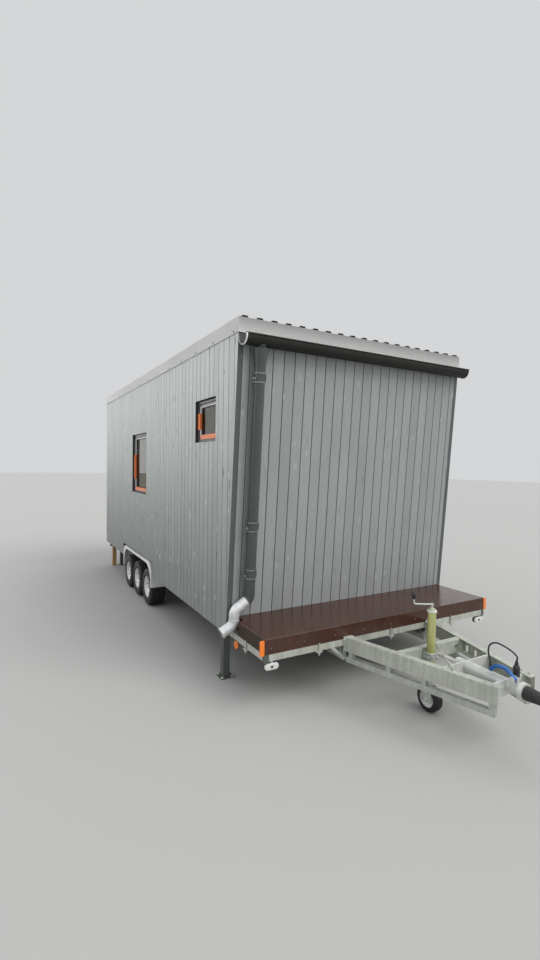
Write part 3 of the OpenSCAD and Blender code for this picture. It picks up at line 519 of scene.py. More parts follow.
def start_box(name, low, high):
    clear_selection()
    bpy.ops.mesh.primitive_cube_add(size=1, location=[(a + b) / 2 for a, b in zip(low, high)])
    made = named(bpy.context.object, name)
    made.scale = [b - a for a, b in zip(low, high)]
    bpy.ops.object.transform_apply(location=True, rotation=True, scale=True)
    return made


# How far an edge runs along an axis, which is 0, 1 or 2
def run(edge, axis):
    return abs(edge.verts[0].co[axis] - edge.verts[1].co[axis])


# Jack: a drawn steel tube with yellow chromate over the zinc, and a pressed cap. It is clamped to the cross member,
# and its inner tube ends in a fork with a small solid wheel.
dress(zinc_finish("yellow_zinc", (0.56, 0.57, 0.24), 0.25, 12.0, 0.75), "jack_tube")
jack_top = beam_top + 0.295


def at_jack(x, y, z):
    return spot(x - 0.060, y - 1.062, z)


jack_cap = turned("jack_cap", at_jack(0, 0, jack_top), (0, 0, 1), [(0.0, -0.0015), (0.026, -0.0015), (0.034, -0.0045),
    (0.0365, -0.008), (0.0365, -0.020), (0.0305, -0.023), (0.0302, -0.012), (0.0, -0.010)], 48)
settle(jack_cap, [tube_zinc], house, "galvanised")
clamp_z, clamp_half, clamp_reach = beam_top - 0.055, 0.0265, 0.040
clamp = start_box("jack_clamp", at_jack(-clamp_reach, -clamp_reach, clamp_z - clamp_half), at_jack(clamp_reach, 0.0405,
    clamp_z + clamp_half))
bevel_edges(clamp, 0.010, lambda e: run(e, 2) > 0.01 and e.verts[0].co.y < at_jack(0, 0, 0).y, 4)
in_edit_mode(clamp, "FACE", lambda f: abs(f.normal.z) > 0.9)
bpy.ops.mesh.inset(thickness=0.006, depth=0.003)
leave_edit_mode()
places = [facing((sign, 0, 0), at_jack(sign * clamp_reach, y, clamp_z)) for sign in (-1, 1) for y in (-0.012, 0.022)]
places += [facing((0, -1, 0), at_jack(x, -clamp_reach, clamp_z)) for x in (-0.02, 0.02)]
settle(join([clamp, *spread(hex_head("bolt_pattern", 0.017, 0.009), places)], "jack_clamp"), [bright_zinc], house,
    "galvanised")

leg_low, leg_high, jockey_z = 0.172, 0.60, 0.100
inner = turned("jack_inner_tube", at_jack(0, 0, 0), (0, 0, 1), [(0.0, leg_low), (0.0225, leg_low), (0.0255, leg_low +
    0.003), (0.0255, leg_high), (0.0, leg_high)], 40)
fork = start_box("fork", at_jack(-0.042, -0.045, 0.080), at_jack(0.042, 0.045, leg_low))
in_edit_mode(fork, "FACE", lambda f: f.normal.z < -0.9 or abs(f.normal.y) > 0.9)
bpy.ops.mesh.delete(type="FACE")
leave_edit_mode()
bevel_edges(fork, 0.008, lambda e: all(abs(v.co.z - leg_low) < 1e-4 for v in e.verts) and run(e, 0) < 1e-4, 4)
apply_modifier(fork, "SOLIDIFY", thickness=0.005, offset=-1)
jockey = turned("jockey", at_jack(0, 0, jockey_z), (1, 0, 0), mirrored([(0.062, -0.036), (0.088, -0.034),
    (0.097, -0.027), (0.100, -0.012)]), 56)
jockey_hub = turned("jockey_hub", at_jack(0, 0, jockey_z), (1, 0, 0), mirrored([(0.0, -0.046), (0.010, -0.046),
    (0.011, -0.037), (0.024, -0.036), (0.026, -0.026), (0.056, -0.022), (0.062, -0.036), (0.066, -0.035)]), 40)
settle(join([finished(inner, bright_zinc), finished(fork, bright_zinc), finished(jockey, tyre_rubber),
    finished(jockey_hub, rim_paint)], "jack_foot"), None, house, "galvanised", "jack_leg")

# Crank: a bent rod of zinc-plated steel on a round boss, held on the jack's screw by a hexagon nut. Its black plastic
# grip turns loosely on the upright end.
black_plastic = worn_finish("black_plastic", (0.018, 0.018, 0.019), (0.10, 0.10, 0.09), 0.2, 20.0, (0.35, 0.6))
(crank_x, crank_y), = around(0.135, 150)
crank_foot = jack_top + 0.0003
boss = turned("crank_boss", at_jack(0, 0, crank_foot), (0, 0, 1), [(0.0, 0.0), (0.022, 0.0), (0.022, 0.006),
    (0.020, 0.008), (0.008, 0.008), (0.008, 0.030), (0.0, 0.030)], 40)
nut = start_rod("crank_nut", at_jack(0, 0, crank_foot + 0.0365), 0.0125, 0.017, (0, 0, 1), 6)
bevel_edges(nut, 0.002, lambda e: run(e, 2) < 1e-5, 2)


# A round rod along a bent line: the first circle is extruded on from one point of the line to the next
def bent_rod(name, line, radius, sides=16):
    clear_selection()
    bpy.ops.mesh.primitive_circle_add(vertices=sides, radius=radius, fill_type="NGON")
    made = named(bpy.context.object, name)
    rings = [facing(after - before, point) for before, point, after in zip(line[:1] + line, line, line[1:] + line[-1:])]
    flat = [v.co.copy() for v in made.data.vertices]
    made.data.transform(rings[0])
    in_edit_mode(made, "FACE", lambda f: True)
    for ring in rings[1:]:
        bpy.ops.mesh.extrude_region_move(TRANSFORM_OT_translate={"value": (0, 0, 0)})
        shape = bmesh.from_edit_mesh(made.data)
        for vertex, place in zip([v for v in shape.verts if v.select], flat):
            vertex.co = ring @ place
        bmesh.update_edit_mesh(made.data)
    turn_outwards()
    return smooth(made, 50)


# A line through corners that are rounded over, each by a curve between two points at one distance from it
def rounded(corners, radius, steps=5):
    corners = [Vector(corner) for corner in corners]
    line = corners[:1]
    for before, corner, after in zip(corners, corners[1:], corners[2:]):
        first = corner + (before - corner).normalized() * radius
        last = corner + (after - corner).normalized() * radius
        for i in range(steps + 1):
            t = i / steps
            line.append(first * (1 - t) ** 2 + corner * 2 * t * (1 - t) + last * t ** 2)
    return line + corners[-1:]


arm_z = crank_foot + 0.037
crank_rod = bent_rod("crank_rod", rounded([at_jack(0, 0, arm_z), at_jack(crank_x, crank_y, arm_z),
    at_jack(crank_x, crank_y, arm_z + 0.050)], 0.018), 0.0062)
knob = turned("crank_knob", at_jack(crank_x, crank_y, crank_foot), (0, 0, 1), [(0.0, 0.074), (0.010, 0.074),
    (0.012, 0.077), (0.014, 0.088), (0.018, 0.100), (0.0188, 0.108), (0.0175, 0.115), (0.013, 0.118), (0.0, 0.118)], 32)
settle(join([finished(boss, bright_zinc), finished(nut, bright_zinc), finished(crank_rod, bright_zinc),
    finished(knob, black_plastic)], "crank_handle"), None, "jack_crank", "galvanised", "jack_crank")

# Overrun coupling: a cast head with a ball cup on the draw tube, painted black, with a black plastic handle on top. A
# rubber bellows keeps the tube clean.
dress(worn_finish("cast_black", (0.035, 0.036, 0.04), (0.16, 0.13, 0.10), 0.3, 25.0, (0.4, 0.7), (0.4, 0.0012),
    metal=0.2), "coupling_head")
black_rubber = worn_finish("black_rubber", (0.02, 0.02, 0.021), (0.12, 0.11, 0.10), 0.25, 18.0, (0.5, 0.8))
folds = []
for i in range(9):
    reach, radius = 0.002 + i * 0.0135, 0.0455 - i * 0.0013
    folds += [(radius - 0.0035, reach), (radius, reach + 0.005), (radius, reach + 0.0065)]
bellows = turned("bellows", spot(0, -1.756, tube_z), (0, -1, 0), [(0.0, 0.0), *folds, (0.030, 0.1215), (0.0, 0.1215)])
settle(bellows, [black_rubber], house, "black_rubber")
handle_line = [spot(0, y, tube_z + z) for y, z in ((-2.085, 0.020), (-2.045, 0.048), (-1.985, 0.054), (-1.945, 0.052))]
handle = bent_rod("coupling_handle", rounded(handle_line, 0.02), 0.011, 12)
in_edit_mode(handle, "VERT", lambda v: True)
bpy.ops.transform.resize(value=(1.5, 1, 1), center_override=spot(0, -2.0, tube_z))
leave_edit_mode()
settle(handle, [black_plastic], house, "black_plastic")

# Brake lever: a bent steel bar on a pin beside the housing. It is moulded over with a blue plastic grip, which has
# rings for the fingers.
dress(worn_finish("blue_grip", (0.018, 0.125, 0.42), (0.20, 0.25, 0.32), 0.25, 22.0, (0.28, 0.5)), "brake_lever")

# Light lead: a stiff cable in black rubber that comes out of a boot on the drawbar and bends over in an upright loop.
# Its moulded plug is parked in a socket beside the beam.
lead_points = [(0.020, -1.500, 0.480), (0.018, -1.492, 0.530), (0.016, -1.480, 0.585), (0.016, -1.488, 0.630),
    (0.020, -1.525, 0.658), (0.026, -1.570, 0.656), (0.034, -1.622, 0.640), (0.042, -1.664, 0.612),
    (0.042, -1.664, 0.580)]
lead_steps = 36


# A smooth curve through the points, by its share of the way from the first to the last
def lead_at(share):
    last = len(lead_points) - 1
    i = min(int(share * last), last - 1)
    u = share * last - i
    a, b, c, d = (Vector(lead_points[k]) for k in (max(i - 1, 0), i, i + 1, min(i + 2, last)))
    return 0.5 * (2 * b + (c - a) * u + (2 * a - 5 * b + 4 * c - d) * u * u + (3 * b - a - 3 * c + d) * u ** 3)


route = [spot(*lead_at(i / lead_steps)) for i in range(lead_steps + 1)]
lead_curve = bpy.data.curves.new("light_lead", "CURVE")
lead_curve.dimensions = "3D"
lead_curve.bevel_depth = 0.0055
lead_curve.bevel_resolution = 4
lead_curve.use_fill_caps = True
spline = lead_curve.splines.new("POLY")
spline.points.add(len(route) - 1)
for point, place in zip(spline.points, route):
    point.co = (*place, 1)
lead = bpy.data.objects.new("light_lead", lead_curve)
bpy.context.scene.collection.objects.link(lead)
plug_body = turned("light_plug", spot(0.042, -1.664, 0.484), (0, 0, 1), [(0.0, 0.0), (0.0205, 0.0), (0.022, 0.002),
    (0.022, 0.014), (0.0205, 0.016), (0.0205, 0.040), (0.0215, 0.042), (0.0215, 0.054), (0.0195, 0.060),
    (0.0165, 0.068), (0.012, 0.074), (0.0115, 0.078), (0.0118, 0.080), (0.0105, 0.084), (0.0108, 0.086),
    (0.0095, 0.090), (0.0085, 0.096), (0.0, 0.096)], 40)
settle(plug_body, [black_plastic], house, "black_plastic", "plug")
boot = turned("lead_boot", spot(0.020, -1.500, 0.472), (0, 0.16, 1), [(0.0, 0.0), (0.0125, 0.0), (0.0125, 0.006),
    (0.0105, 0.010), (0.0110, 0.014), (0.0092, 0.018), (0.0097, 0.022), (0.0080, 0.027), (0.0068, 0.038),
    (0.0, 0.038)], 28)
settle(boot, [black_rubber], house, "black_rubber")
settle(lead, [black_rubber], house, "black_rubber", "plug_lead")


# Deck: the insulated floor runs on in front of the house as a deck. It is faced with dark brown phenolic film on
# plywood, glossy when clean, with fine scratches, drops and dust; its edges are boards of the same film. A corner is
# sawn out for the foot of the downpipe.
deck_low, deck_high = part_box("front_deck")
film, tree, shader, where = new_finish("brown_film")
wear = use_group(tree, surface_wear, shader, {"Vector": where, "Tone": (0.054, 0.018, 0.011, 1), "Dirt": (0.12, 0.065,
    0.045, 1), "Share": 0.2, "Size": 2.2, "Smooth": 0.16, "Rough": 0.32}, (0.03, 0.0003))
bit_far, bit_size = cells(tree, stretched(tree, where, (9.0, 9.0, 9.0)), 1.6)
bit = math_node(tree, "LESS_THAN", bit_far, ranged(tree, bit_size, 0.90, 1.0, 0.0, 0.06))
tree.links.new(mixed(tree, product(tree, bit, 0.35), wear.outputs["Color"], (0.42, 0.36, 0.28, 1)),
    shader.inputs["Base Color"])
# The deck's side faces take a darker, duller film: brown edge sealing, darkened further as painted shade on the sides.
edge_film_and_shade = worn_finish("edge_film_and_shade", (0.030, 0.014, 0.008), (0.07, 0.05, 0.035), 0.2, 6.0, (0.35, 0.55), gloss=0.3)


# The second finish of a piece goes on the faces that pass the test
def coat_faces(piece, test):
    for face in piece.data.polygons:
        if test(face):
            face.material_index = 1


# Every cutter stands out by this much past the face that it opens
clear = 0.01
film_thick, film_gap, notch_wide, notch_long = 0.021, 0.0015, 0.050, 0.135
deck = start_box("deck_boards", deck_low, deck_high)
bevel_edges(deck, 0.004, lambda e: all(v.co.z > deck_high.z - 1e-4 for v in e.verts) or run(e, 2) > 0.05, 3)
for x in (-0.40, 0.42):
    cut_away(deck, start_box("seam", spot(x - film_gap, -0.6, deck_low.z - clear), spot(x + film_gap, -0.577,
        deck_high.z - film_thick)))
cut_away(deck, start_box("lip", (deck_low.x - clear, deck_low.y - clear, deck_high.z - film_thick - film_gap),
    (deck_high.x + clear, deck_low.y + film_gap, deck_high.z - film_thick)))
cut_away(deck, start_box("pipe_notch", (deck_low.x - clear, corner_y - notch_long, deck_low.z - clear), (deck_low.x +
    notch_wide, deck_high.y + clear, deck_high.z + clear)))
settle(deck, [film, edge_film_and_shade], house, "film_faced_plywood", "front_deck")
# Sealing and painted shade: the side faces get the darker edge film.
coat_faces(deck, lambda f: abs(f.normal.x) > 0.9)
dress(film, "floor_panel")

# Deck screws: countersunk steel screws, driven in flush. They go through the film along the deck's edges, about 290
# mm apart.
screw_steel = worn_finish("screw_steel", (0.30, 0.29, 0.27), (0.12, 0.09, 0.06), 0.4, 60.0, (0.3, 0.6), metal=0.7)
screw = turned("screw_pattern", (0, 0, 0), (0, 0, 1), [(0.0, -0.001), (0.005, -0.001), (0.005, 0.0006),
    (0.0042, 0.0009), (0.0, 0.0009)], 14)
screw_in, screw_spaces = 0.05, 8
screw_step = (deck_high.x - deck_low.x - 2 * screw_in) / screw_spaces
deck_x = [deck_low.x + screw_in + i * screw_step for i in range(screw_spaces + 1)]
places = [facing((0, 0, 1), (x, deck_low.y + 0.035, deck_high.z)) for x in deck_x]
places += [facing((0, -1, 0), (x, deck_low.y, deck_low.z + 0.045)) for x in deck_x]
places += [facing((0, 0, 1), (x, deck_low.y + y, deck_high.z)) for x in (deck_x[0], deck_x[-1]) for y in (0.23, 0.42)]
fasten("deck_screws", screw, places, screw_steel)


# Cladding: planed softwood boards with a tongue and groove, 104 mm apart, nailed upright on battens and stained a
# matt grey. Knots show darker and resin comes through as small white flecks. The front end wall leans forward.
def cut_plane(piece, point, normal):
    in_edit_mode(piece, "FACE", lambda f: True)
    bpy.ops.mesh.bisect(plane_co=point, plane_no=normal, use_fill=True, clear_outer=True)
    leave_edit_mode()


def cut_hole(piece, low, high):
    cut_away(piece, start_box("cutter", low, high))


face_left, face_right, face_rear = wall_low.x, right_high.x, wall_high.y
wall_foot, wall_top, deck_top = wall_low.z, wall_high.z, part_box("front_wall")[0].z
board_pitch, groove, groove_depth, board_thick, wall_thick = 0.104, 0.007, 0.009, 0.020, 0.170
window_gaps = [(corner_y + 0.262, corner_y + 0.752, wall_foot + 1.583, wall_foot + 1.968),
    (corner_y + 2.508, corner_y + 3.248, wall_foot + 0.985, wall_foot + 1.775)]
arch_front, arch_rear, arch_top = corner_y + 2.200, corner_y + 3.800, wall_foot + 0.175
doorway = (corner_y + 0.62, corner_y + 1.48, deck_top, deck_top + 2.0)


def upright_at_face(edge):
    return all(abs(v.co.y) < 1e-5 for v in edge.verts) and run(edge, 0) < 1e-5


# One run of boards: it is made along X with its face at y = 0, looking to -Y
def board_wall(name, first, last, offset, low, high):
    start = first + offset - board_pitch
    boards = start_box(name, (start + groove / 2, 0, low), (start + board_pitch - groove / 2, board_thick, high))
    bevel_edges(boards, 0.0018, upright_at_face, 2)
    apply_modifier(boards, "ARRAY", count=math.ceil((last - first) / board_pitch) + 2, use_relative_offset=False,
        use_constant_offset=True, constant_offset_displace=(board_pitch, 0, 0))
    cut_plane(boards, (first, 0, 0), (-1, 0, 0))
    cut_plane(boards, (last, 0, 0), (1, 0, 0))
    return boards


# Where each run of boards goes: the front leans, and the others are turned or mirrored to their side
tilt_front = Matrix.Translation((0, corner_y, wall_foot)) @ Matrix.Rotation(lean, 4, "X") @ Matrix.Translation(
    (0, 0, -wall_foot))
turn_left = Matrix(((0, 1, 0, face_left), (1, 0, 0, 0), (0, 0, 1, 0), (0, 0, 0, 1)))
turn_right = Matrix(((0, -1, 0, face_right), (1, 0, 0, 0), (0, 0, 1, 0), (0, 0, 0, 1)))
turn_rear = Matrix(((1, 0, 0, 0), (0, -1, 0, face_rear), (0, 0, 1, 0), (0, 0, 0, 1)))


def place_in(piece, matrix):
    piece.data.transform(matrix)
    if matrix.determinant() < 0:
        piece.data.flip_normals()


def joined_up(tree, x, y, z=0.0):
    return add_node(tree, "ShaderNodeCombineXYZ", {0: x, 1: y, 2: z}).outputs[0]


# Stain on softwood: each board has its own tone and grain, with knots and white flecks. The stain is scaled from Foot
# low down to Head high up: painted shade at the foot and painted sheen towards the top.
def board_shade_group():
    group, given = new_group("board_shade", {"Across": "Float", "Along": "Float", "Start": "Float", "Pitch": "Float",
        "Stain": "Color", "Knots": "Float", "Foot": "Float", "Head": "Float"}, {"Color": "Color",
        "Roughness": "Float", "Height": "Float"})
    across, along = given["Across"], given["Along"]
    row = math_node(group, "DIVIDE", math_node(group, "SUBTRACT", across, given["Start"]), given["Pitch"])
    own = add_node(group, "ShaderNodeTexWhiteNoise", {"W": math_node(group, "FLOOR", row)}, noise_dimensions="1D"
        ).outputs["Value"]
    far = product(group, own, 40.0)
    grain = noise(group, joined_up(group, product(group, across, 110.0), product(group, along, 2.4), far), 1.0, 5.0,
        Distortion=0.5)
    patch = noise(group, joined_up(group, far, product(group, along, 1.3)), 1.0, 3.0)
    knot_up = product(group, math_node(group, "ADD", along, far), 2.1)
    knot_far, knot_size = cells(group, joined_up(group, row, knot_up), 1.0, 1, "2D")
    knot_edge = ranged(group, knot_size, 0.35, 1.0, 0.0, 0.085)
    knot = ranged(group, knot_far, knot_edge, math_node(group, "ADD", knot_edge, 0.03), 1.0, 0.0)
    fleck_far, fleck_size = cells(group, joined_up(group, across, product(group, along, 0.4)), 8.0, 0, "2D")
    fleck_edge = math_node(group, "ADD", fleck_far, ranged(group, grain, 0.35, 0.65, -0.04, 0.04))
    fleck = math_node(group, "LESS_THAN", fleck_edge, ranged(group, fleck_size, 0.20, 1.0, -0.03, 0.105))
    # Painted light: darker towards Foot at the bottom, lighter towards Head at the top
    painted_sheen_and_shade = ranged(group, along, wall_foot + 0.2, wall_top - 0.2, given["Foot"], given["Head"])
    tone = product(group, painted_sheen_and_shade, ranged(group, own, 0.0, 1.0, 0.94, 1.05), ranged(group, grain, 0.3, 0.7, 0.95,
        1.05), ranged(group, patch, 0.3, 0.7, 0.95, 1.05))
    stained = scaled(group, given["Stain"], tone)
    knotted = mixed(group, product(group, knot, given["Knots"]), stained, (0.075, 0.085, 0.08, 1))
    flecked = mixed(group, product(group, fleck, given["Knots"]), knotted, (0.66, 0.68, 0.66, 1))
    add_node(group, "NodeGroupOutput", {"Color": flecked, "Roughness": ranged(group, grain, 0.2, 0.8, 0.36, 0.50),
        "Height": math_node(group, "MULTIPLY_ADD", knot, 0.5, grain)})
    return group


board_shade = board_shade_group()


def board_finish(name, axis, start, stain, pitch=board_pitch, knots=0.3, along="Z", foot=1.0, head=1.0):
    made, tree, shader, where = new_finish(name)
    split = add_node(tree, "ShaderNodeSeparateXYZ", {0: where}).outputs
    use_group(tree, board_shade, shader, {"Across": split[axis], "Along": split[along], "Start": start, "Pitch": pitch,
        "Stain": (*stain, 1), "Knots": knots, "Foot": foot, "Head": head}, (0.35, 0.0012))
    return made


# The side boards start before the corner and are cut to its slope. The end boards' first joint is 6 mm in.
spare, first_joint, behind_boards = 0.2, 0.006, board_thick + 0.0003
# Painted light: the side boards are stained lighter than the end boards to make up for the lamp that misses them, and
# run from painted shade at the foot to a painted sheen at the top.
side_boards_painted_light = board_finish("side_boards_painted_light", "Y", corner_y - spare, (0.335, 0.357, 0.342), knots=0.75, foot=0.73, head=1.5)
end_boards = board_finish("end_boards", "X", face_left + first_joint, (0.30, 0.315, 0.315), knots=0.18)
edge_boards = board_finish("edge_boards", "X", face_left, (0.080, 0.092, 0.095), knots=0.1)
groove_stain = worn_finish("groove_stain", (0.05, 0.056, 0.054), (0.02, 0.02, 0.02), 0.4, 20.0, (0.6, 0.8))
lining_wood = board_finish("lining_wood", "Y", 0.0, (0.40, 0.30, 0.19), 0.3, 0.25)


def side_wall(name, turn, far, holes, node):
    cut_reach, cut_foot, outer_skin = 0.4, wall_foot - 0.1, 0.045
    boards = board_wall(name, corner_y - spare, face_rear, spare % board_pitch, wall_foot, wall_top)
    back = start_box(name + "_lining", (corner_y - spare, groove_depth, wall_foot + 0.001), (face_rear - behind_boards,
        wall_thick, wall_top - 0.001))
    for made in (boards, back):
        place_in(made, turn)
        cut_plane(made, (0, corner_y + behind_boards, wall_foot), (0, -math.cos(lean), -math.sin(lean)))
        for y0, y1, z0, z1 in [(arch_front, arch_rear, cut_foot, arch_top), *holes]:
            cut_hole(made, (far - cut_reach, y0, z0), (far + cut_reach, y1, z1))
    # the lining stands on the floor, only its outer skin goes down to the walls' lower edge
    inner = far + (outer_skin if far < 0 else -cut_reach)
    cut_hole(back, (inner, corner_y - 1, cut_foot), (inner + cut_reach - outer_skin, face_rear + 1, deck_top))
    settle(boards, [side_boards_painted_light], house, "stained_boards", node)
    settle(back, [groove_stain, lining_wood], house, "stained_boards")
    coat_faces(back, lambda f: abs(f.normal.x) > 0.9 and abs(f.center.x - far) > wall_thick - 0.01)


side_wall("left_cladding", turn_left, face_left, window_gaps, "left_wall")
side_wall("right_cladding", turn_right, face_right, [doorway], "right_wall")


# The end walls' boards run between two dark edge battens. At the front these cover the side boards' ends as well.
def end_wall(name, turn, low, node):
    first, last, batten_wide = face_left + board_thick, face_right - board_thick, 0.026
    boards_in, over_foot, over_top = batten_wide + 0.001, wall_foot - 0.1, wall_top + 0.1
    boards = board_wall(name, first + boards_in, last - boards_in, (first_joint - board_thick - boards_in) %
        board_pitch, low - 0.1, over_top)
    back = start_box(name + "_lining", (first + 0.002, groove_depth, low - 0.1), (last - 0.002, wall_thick, over_top))
    at_front, battens = turn == tilt_front, []
    over = board_thick if at_front else 0.0
    for x0, x1 in ((first - over, first + batten_wide), (last - batten_wide, last + over)):
        batten = start_box("edge_batten", (x0, 0.0, over_foot), (x1, board_thick, over_top))
        battens.append(bevel_edges(batten, 0.0015, upright_at_face, 2))
    battens = join(battens, name + "_battens")
    for made, foot in ((boards, low), (back, low), (battens, wall_foot)):
        place_in(made, turn)
        cut_plane(made, (0, 0, foot), (0, 0, -1))
        cut_plane(made, (0, 0, wall_top), (0, 0, 1))
    settle(battens, [edge_boards, side_boards_painted_light], house, "stained_boards")
    coat_faces(battens, lambda f: abs(f.normal.x) > 0.9 and at_front)
    settle(boards, [end_boards], house, "stained_boards", node)
    settle(back, [groove_stain, lining_wood], house, "stained_boards")
    coat_faces(back, lambda f: f.normal.y * (1 if at_front else -1) > 0.9)


end_wall("front_cladding", tilt_front, deck_top, "front_wall")
end_wall("rear_cladding", turn_rear, wall_foot, "rear_wall")

# Windows: two tilt windows in grey coated frames, set back a little in the cladding. Each has an outer frame, a
# sash with a pale bead and a rubber seal, double glass, and strips of orange tape left on from fitting.
frame_coat = worn_finish("frame_coat", (0.055, 0.057, 0.060), (0.30, 0.29, 0.27), 0.18, 9.0, (0.25, 0.45))
sash_coat = worn_finish("sash_coat", (0.16, 0.155, 0.155), (0.30, 0.29, 0.27), 0.18, 9.0, (0.25, 0.45))
bead_coat = worn_finish("bead_coat", (0.86, 0.85, 0.84), (0.4, 0.39, 0.37), 0.2, 15.0, (0.25, 0.4))
orange_tape = worn_finish("orange_tape", (0.90, 0.20, 0.045), (0.95, 0.42, 0.2), 0.5, 30.0, (0.3, 0.55), (0.5, 0.002))
# Painted reflection: the glass is tinted olive in two blotchy tones, with an olive specular tint, for green
# surroundings seen in it.
glass_painted_reflection, tree, shader, where = new_finish("glass_painted_reflection")
shader.inputs["Transmission Weight"].default_value = 1.0
shader.inputs["IOR"].default_value = 1.18
shader.inputs["Specular Tint"].default_value = (0.40, 0.38, 0.29, 1)
reflection_blotches = noise(tree, where, 3.0, 4.0)
tree.links.new(mixed(tree, reflection_blotches, (0.44, 0.41, 0.27, 1), (0.58, 0.55, 0.38, 1)), shader.inputs["Base Color"])
tree.links.new(ranged(tree, reflection_blotches, 0.3, 0.7, 0.0, 0.05), shader.inputs["Roughness"])


# A frame set into an opening: a box whose two faces are opened by an inset, bridged through and rounded
def ring(name, opening, inset, width, depths, round_over, finish):
    (y0, y1, z0, z1), (x0, x1) = opening, depths
    made = start_box(name, (x0, y0 + inset, z0 + inset), (x1, y1 - inset, z1 - inset))
    in_edit_mode(made, "FACE", lambda f: abs(f.normal.x) > 0.9)
    bpy.ops.mesh.inset(thickness=width, use_individual=True)
    bpy.ops.mesh.bridge_edge_loops()
    turn_outwards()
    return finished(bevel_edges(made, round_over, segments=2), finish)


# A strip of tape whose outer side is lifted a little here and there
def strip(name, low, high, seed, lift=0.0012):
    made = start_box(name, low, high)
    in_edit_mode(made, "FACE", lambda f: True)
    bpy.ops.mesh.subdivide(number_cuts=7)
    leave_edit_mode()
    for v in made.data.vertices:
        if v.co.x < (low[0] + high[0]) / 2:
            v.co.x -= lift * (0.5 + 0.5 * math.sin(seed + v.co.y * 71 + v.co.z * 93) * math.cos(seed + v.co.z * 41))
    return made


# Rings from the outside in: name, inset from the opening, width, depths behind the frame's face, rounding, finish
frame_face, frame_gap = face_left + 0.025, 0.004
rings = (("outer", 0.0, 0.026, (0.0, 0.070), 0.003, frame_coat),
    ("sash", 0.0275, 0.0265, (0.006, 0.066), 0.004, sash_coat),
    ("foil", -0.0037, 0.0033, (-0.022, 0.002), 0.0008, black_rubber),
    ("bead", 0.051, 0.0065, (0.004, 0.020), 0.0015, bead_coat),
    ("seal", 0.0545, 0.0075, (0.018, 0.050), 0.001, black_rubber),
    ("spacer", 0.060, 0.010, (0.0282, 0.0438), 0.0008, black_rubber))
for label, gap, (tape_low, tape_high) in (("small", window_gaps[0], (0.118, 0.268)),
        ("large", window_gaps[1], (0.174, 0.515))):
    y0, y1, z0, z1 = opening = (gap[0] + frame_gap, gap[1] - frame_gap, gap[2] + frame_gap, gap[3] - frame_gap)
    parts = [ring(name, opening, inset, width, [frame_face + depth for depth in depths], round_over, finish)
        for name, inset, width, depths, round_over, finish in rings]
    drip = start_box("drip", (frame_face - 0.010, y0 + 0.01, z0 + 0.020), (frame_face + 0.004, y1 - 0.01, z0 + 0.0275))
    in_edit_mode(drip, "VERT", lambda v: v.co.x < frame_face - 0.005 and v.co.z > z0 + 0.024)
    bpy.ops.transform.translate(value=(0, 0, -0.005))
    leave_edit_mode()
    settle(join([*parts, finished(drip, frame_coat)], f"{label}_window"), None, house, "window_coating",
        f"{label}_window_frame")
    tape_face, tape_back, tape_start = frame_face - 0.0008, frame_face + 0.006, y1 - 0.0595
    sill_tape = strip("tape_sill", (tape_face, y0 + 0.020, z0 + 0.020), (tape_back, y1 - 0.075, z0 + 0.066), 1.0)
    side_tape = strip("tape_side", (tape_face, tape_start, z0 + tape_low), (tape_back, y1 - 0.004, z0 + tape_high), 2.6)
    turned_tape = start_box("tape_turn", (frame_face + 0.0055, tape_start, z0 + tape_low + 0.001), (frame_face + 0.022,
        tape_start + 0.0018, z0 + tape_high - 0.001))
    settle(join([sill_tape, side_tape, bevel_edges(turned_tape, 0.0005)], f"{label}_window_tape"), [orange_tape], house,
        "amber_plastic")
    pane_in, pane_thick = 0.058, 0.004
    panes = [bevel_edges(start_box("pane", (frame_face + depth, y0 + pane_in, z0 + pane_in), (frame_face + depth +
        pane_thick, y1 - pane_in, z1 - pane_in)), 0.0006) for depth in (0.024, 0.044)]
    settle(join(panes, f"{label}_window_panes"), [glass_painted_reflection], house, "pane", *(["window_glass"] if label == "small"
        else []))

# Door: one outward door in the right wall, boarded like the house. Its grey frame has an aluminium threshold, three
# lift-off hinges and a steel lever handle on a long plate. Its face lies a little behind the cladding.
door_low, door_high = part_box("door_frame")
leaf_low, leaf_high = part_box("door_leaf")
frame_wide, sill_z = 0.045, door_low.z + 0.0255
door_ring = ring("door_frame_ring", (door_low.y, door_high.y, door_low.z, door_high.z), 0, frame_wide, (door_low.x,
    door_high.x), 0.004, frame_coat)
threshold = start_box("threshold", (leaf_low.x - 0.02, door_low.y + frame_wide, door_low.z - 0.001), (door_high.x +
    0.012, door_high.y - frame_wide, sill_z))
cut_plane(threshold, (door_high.x - 0.03, 0, sill_z), (0.25, 0, 1))
settle(join([door_ring, finished(threshold, bead_coat)], "door_surround"), None, house, "window_coating", "door_frame")

leaf_face = leaf_high.x
turn_leaf = Matrix(((0, -1, 0, leaf_face), (1, 0, 0, 0), (0, 0, 1, 0), (0, 0, 0, 1)))
leaf_boards = board_wall("leaf_boards", leaf_low.y, leaf_high.y, 0.05, leaf_low.z, leaf_high.z)
leaf_back = bevel_edges(start_box("leaf_back", (leaf_low.y, groove_depth, leaf_low.z), (leaf_high.y, leaf_high.x -
    leaf_low.x, leaf_high.z)), 0.002)
for piece in (leaf_boards, leaf_back):
    place_in(piece, turn_leaf)
settle(join([finished(leaf_boards, side_boards_painted_light), finished(leaf_back, groove_stain)], "door_boards"), None, house,
    "stained_boards", "door_leaf")


# A place on the leaf: out from its face, beside the handle's spindle and above it
def at_handle(out, y, z):
    return Vector((leaf_face + out, leaf_low.y + 0.06 + y, leaf_low.z + 1.02 + z))


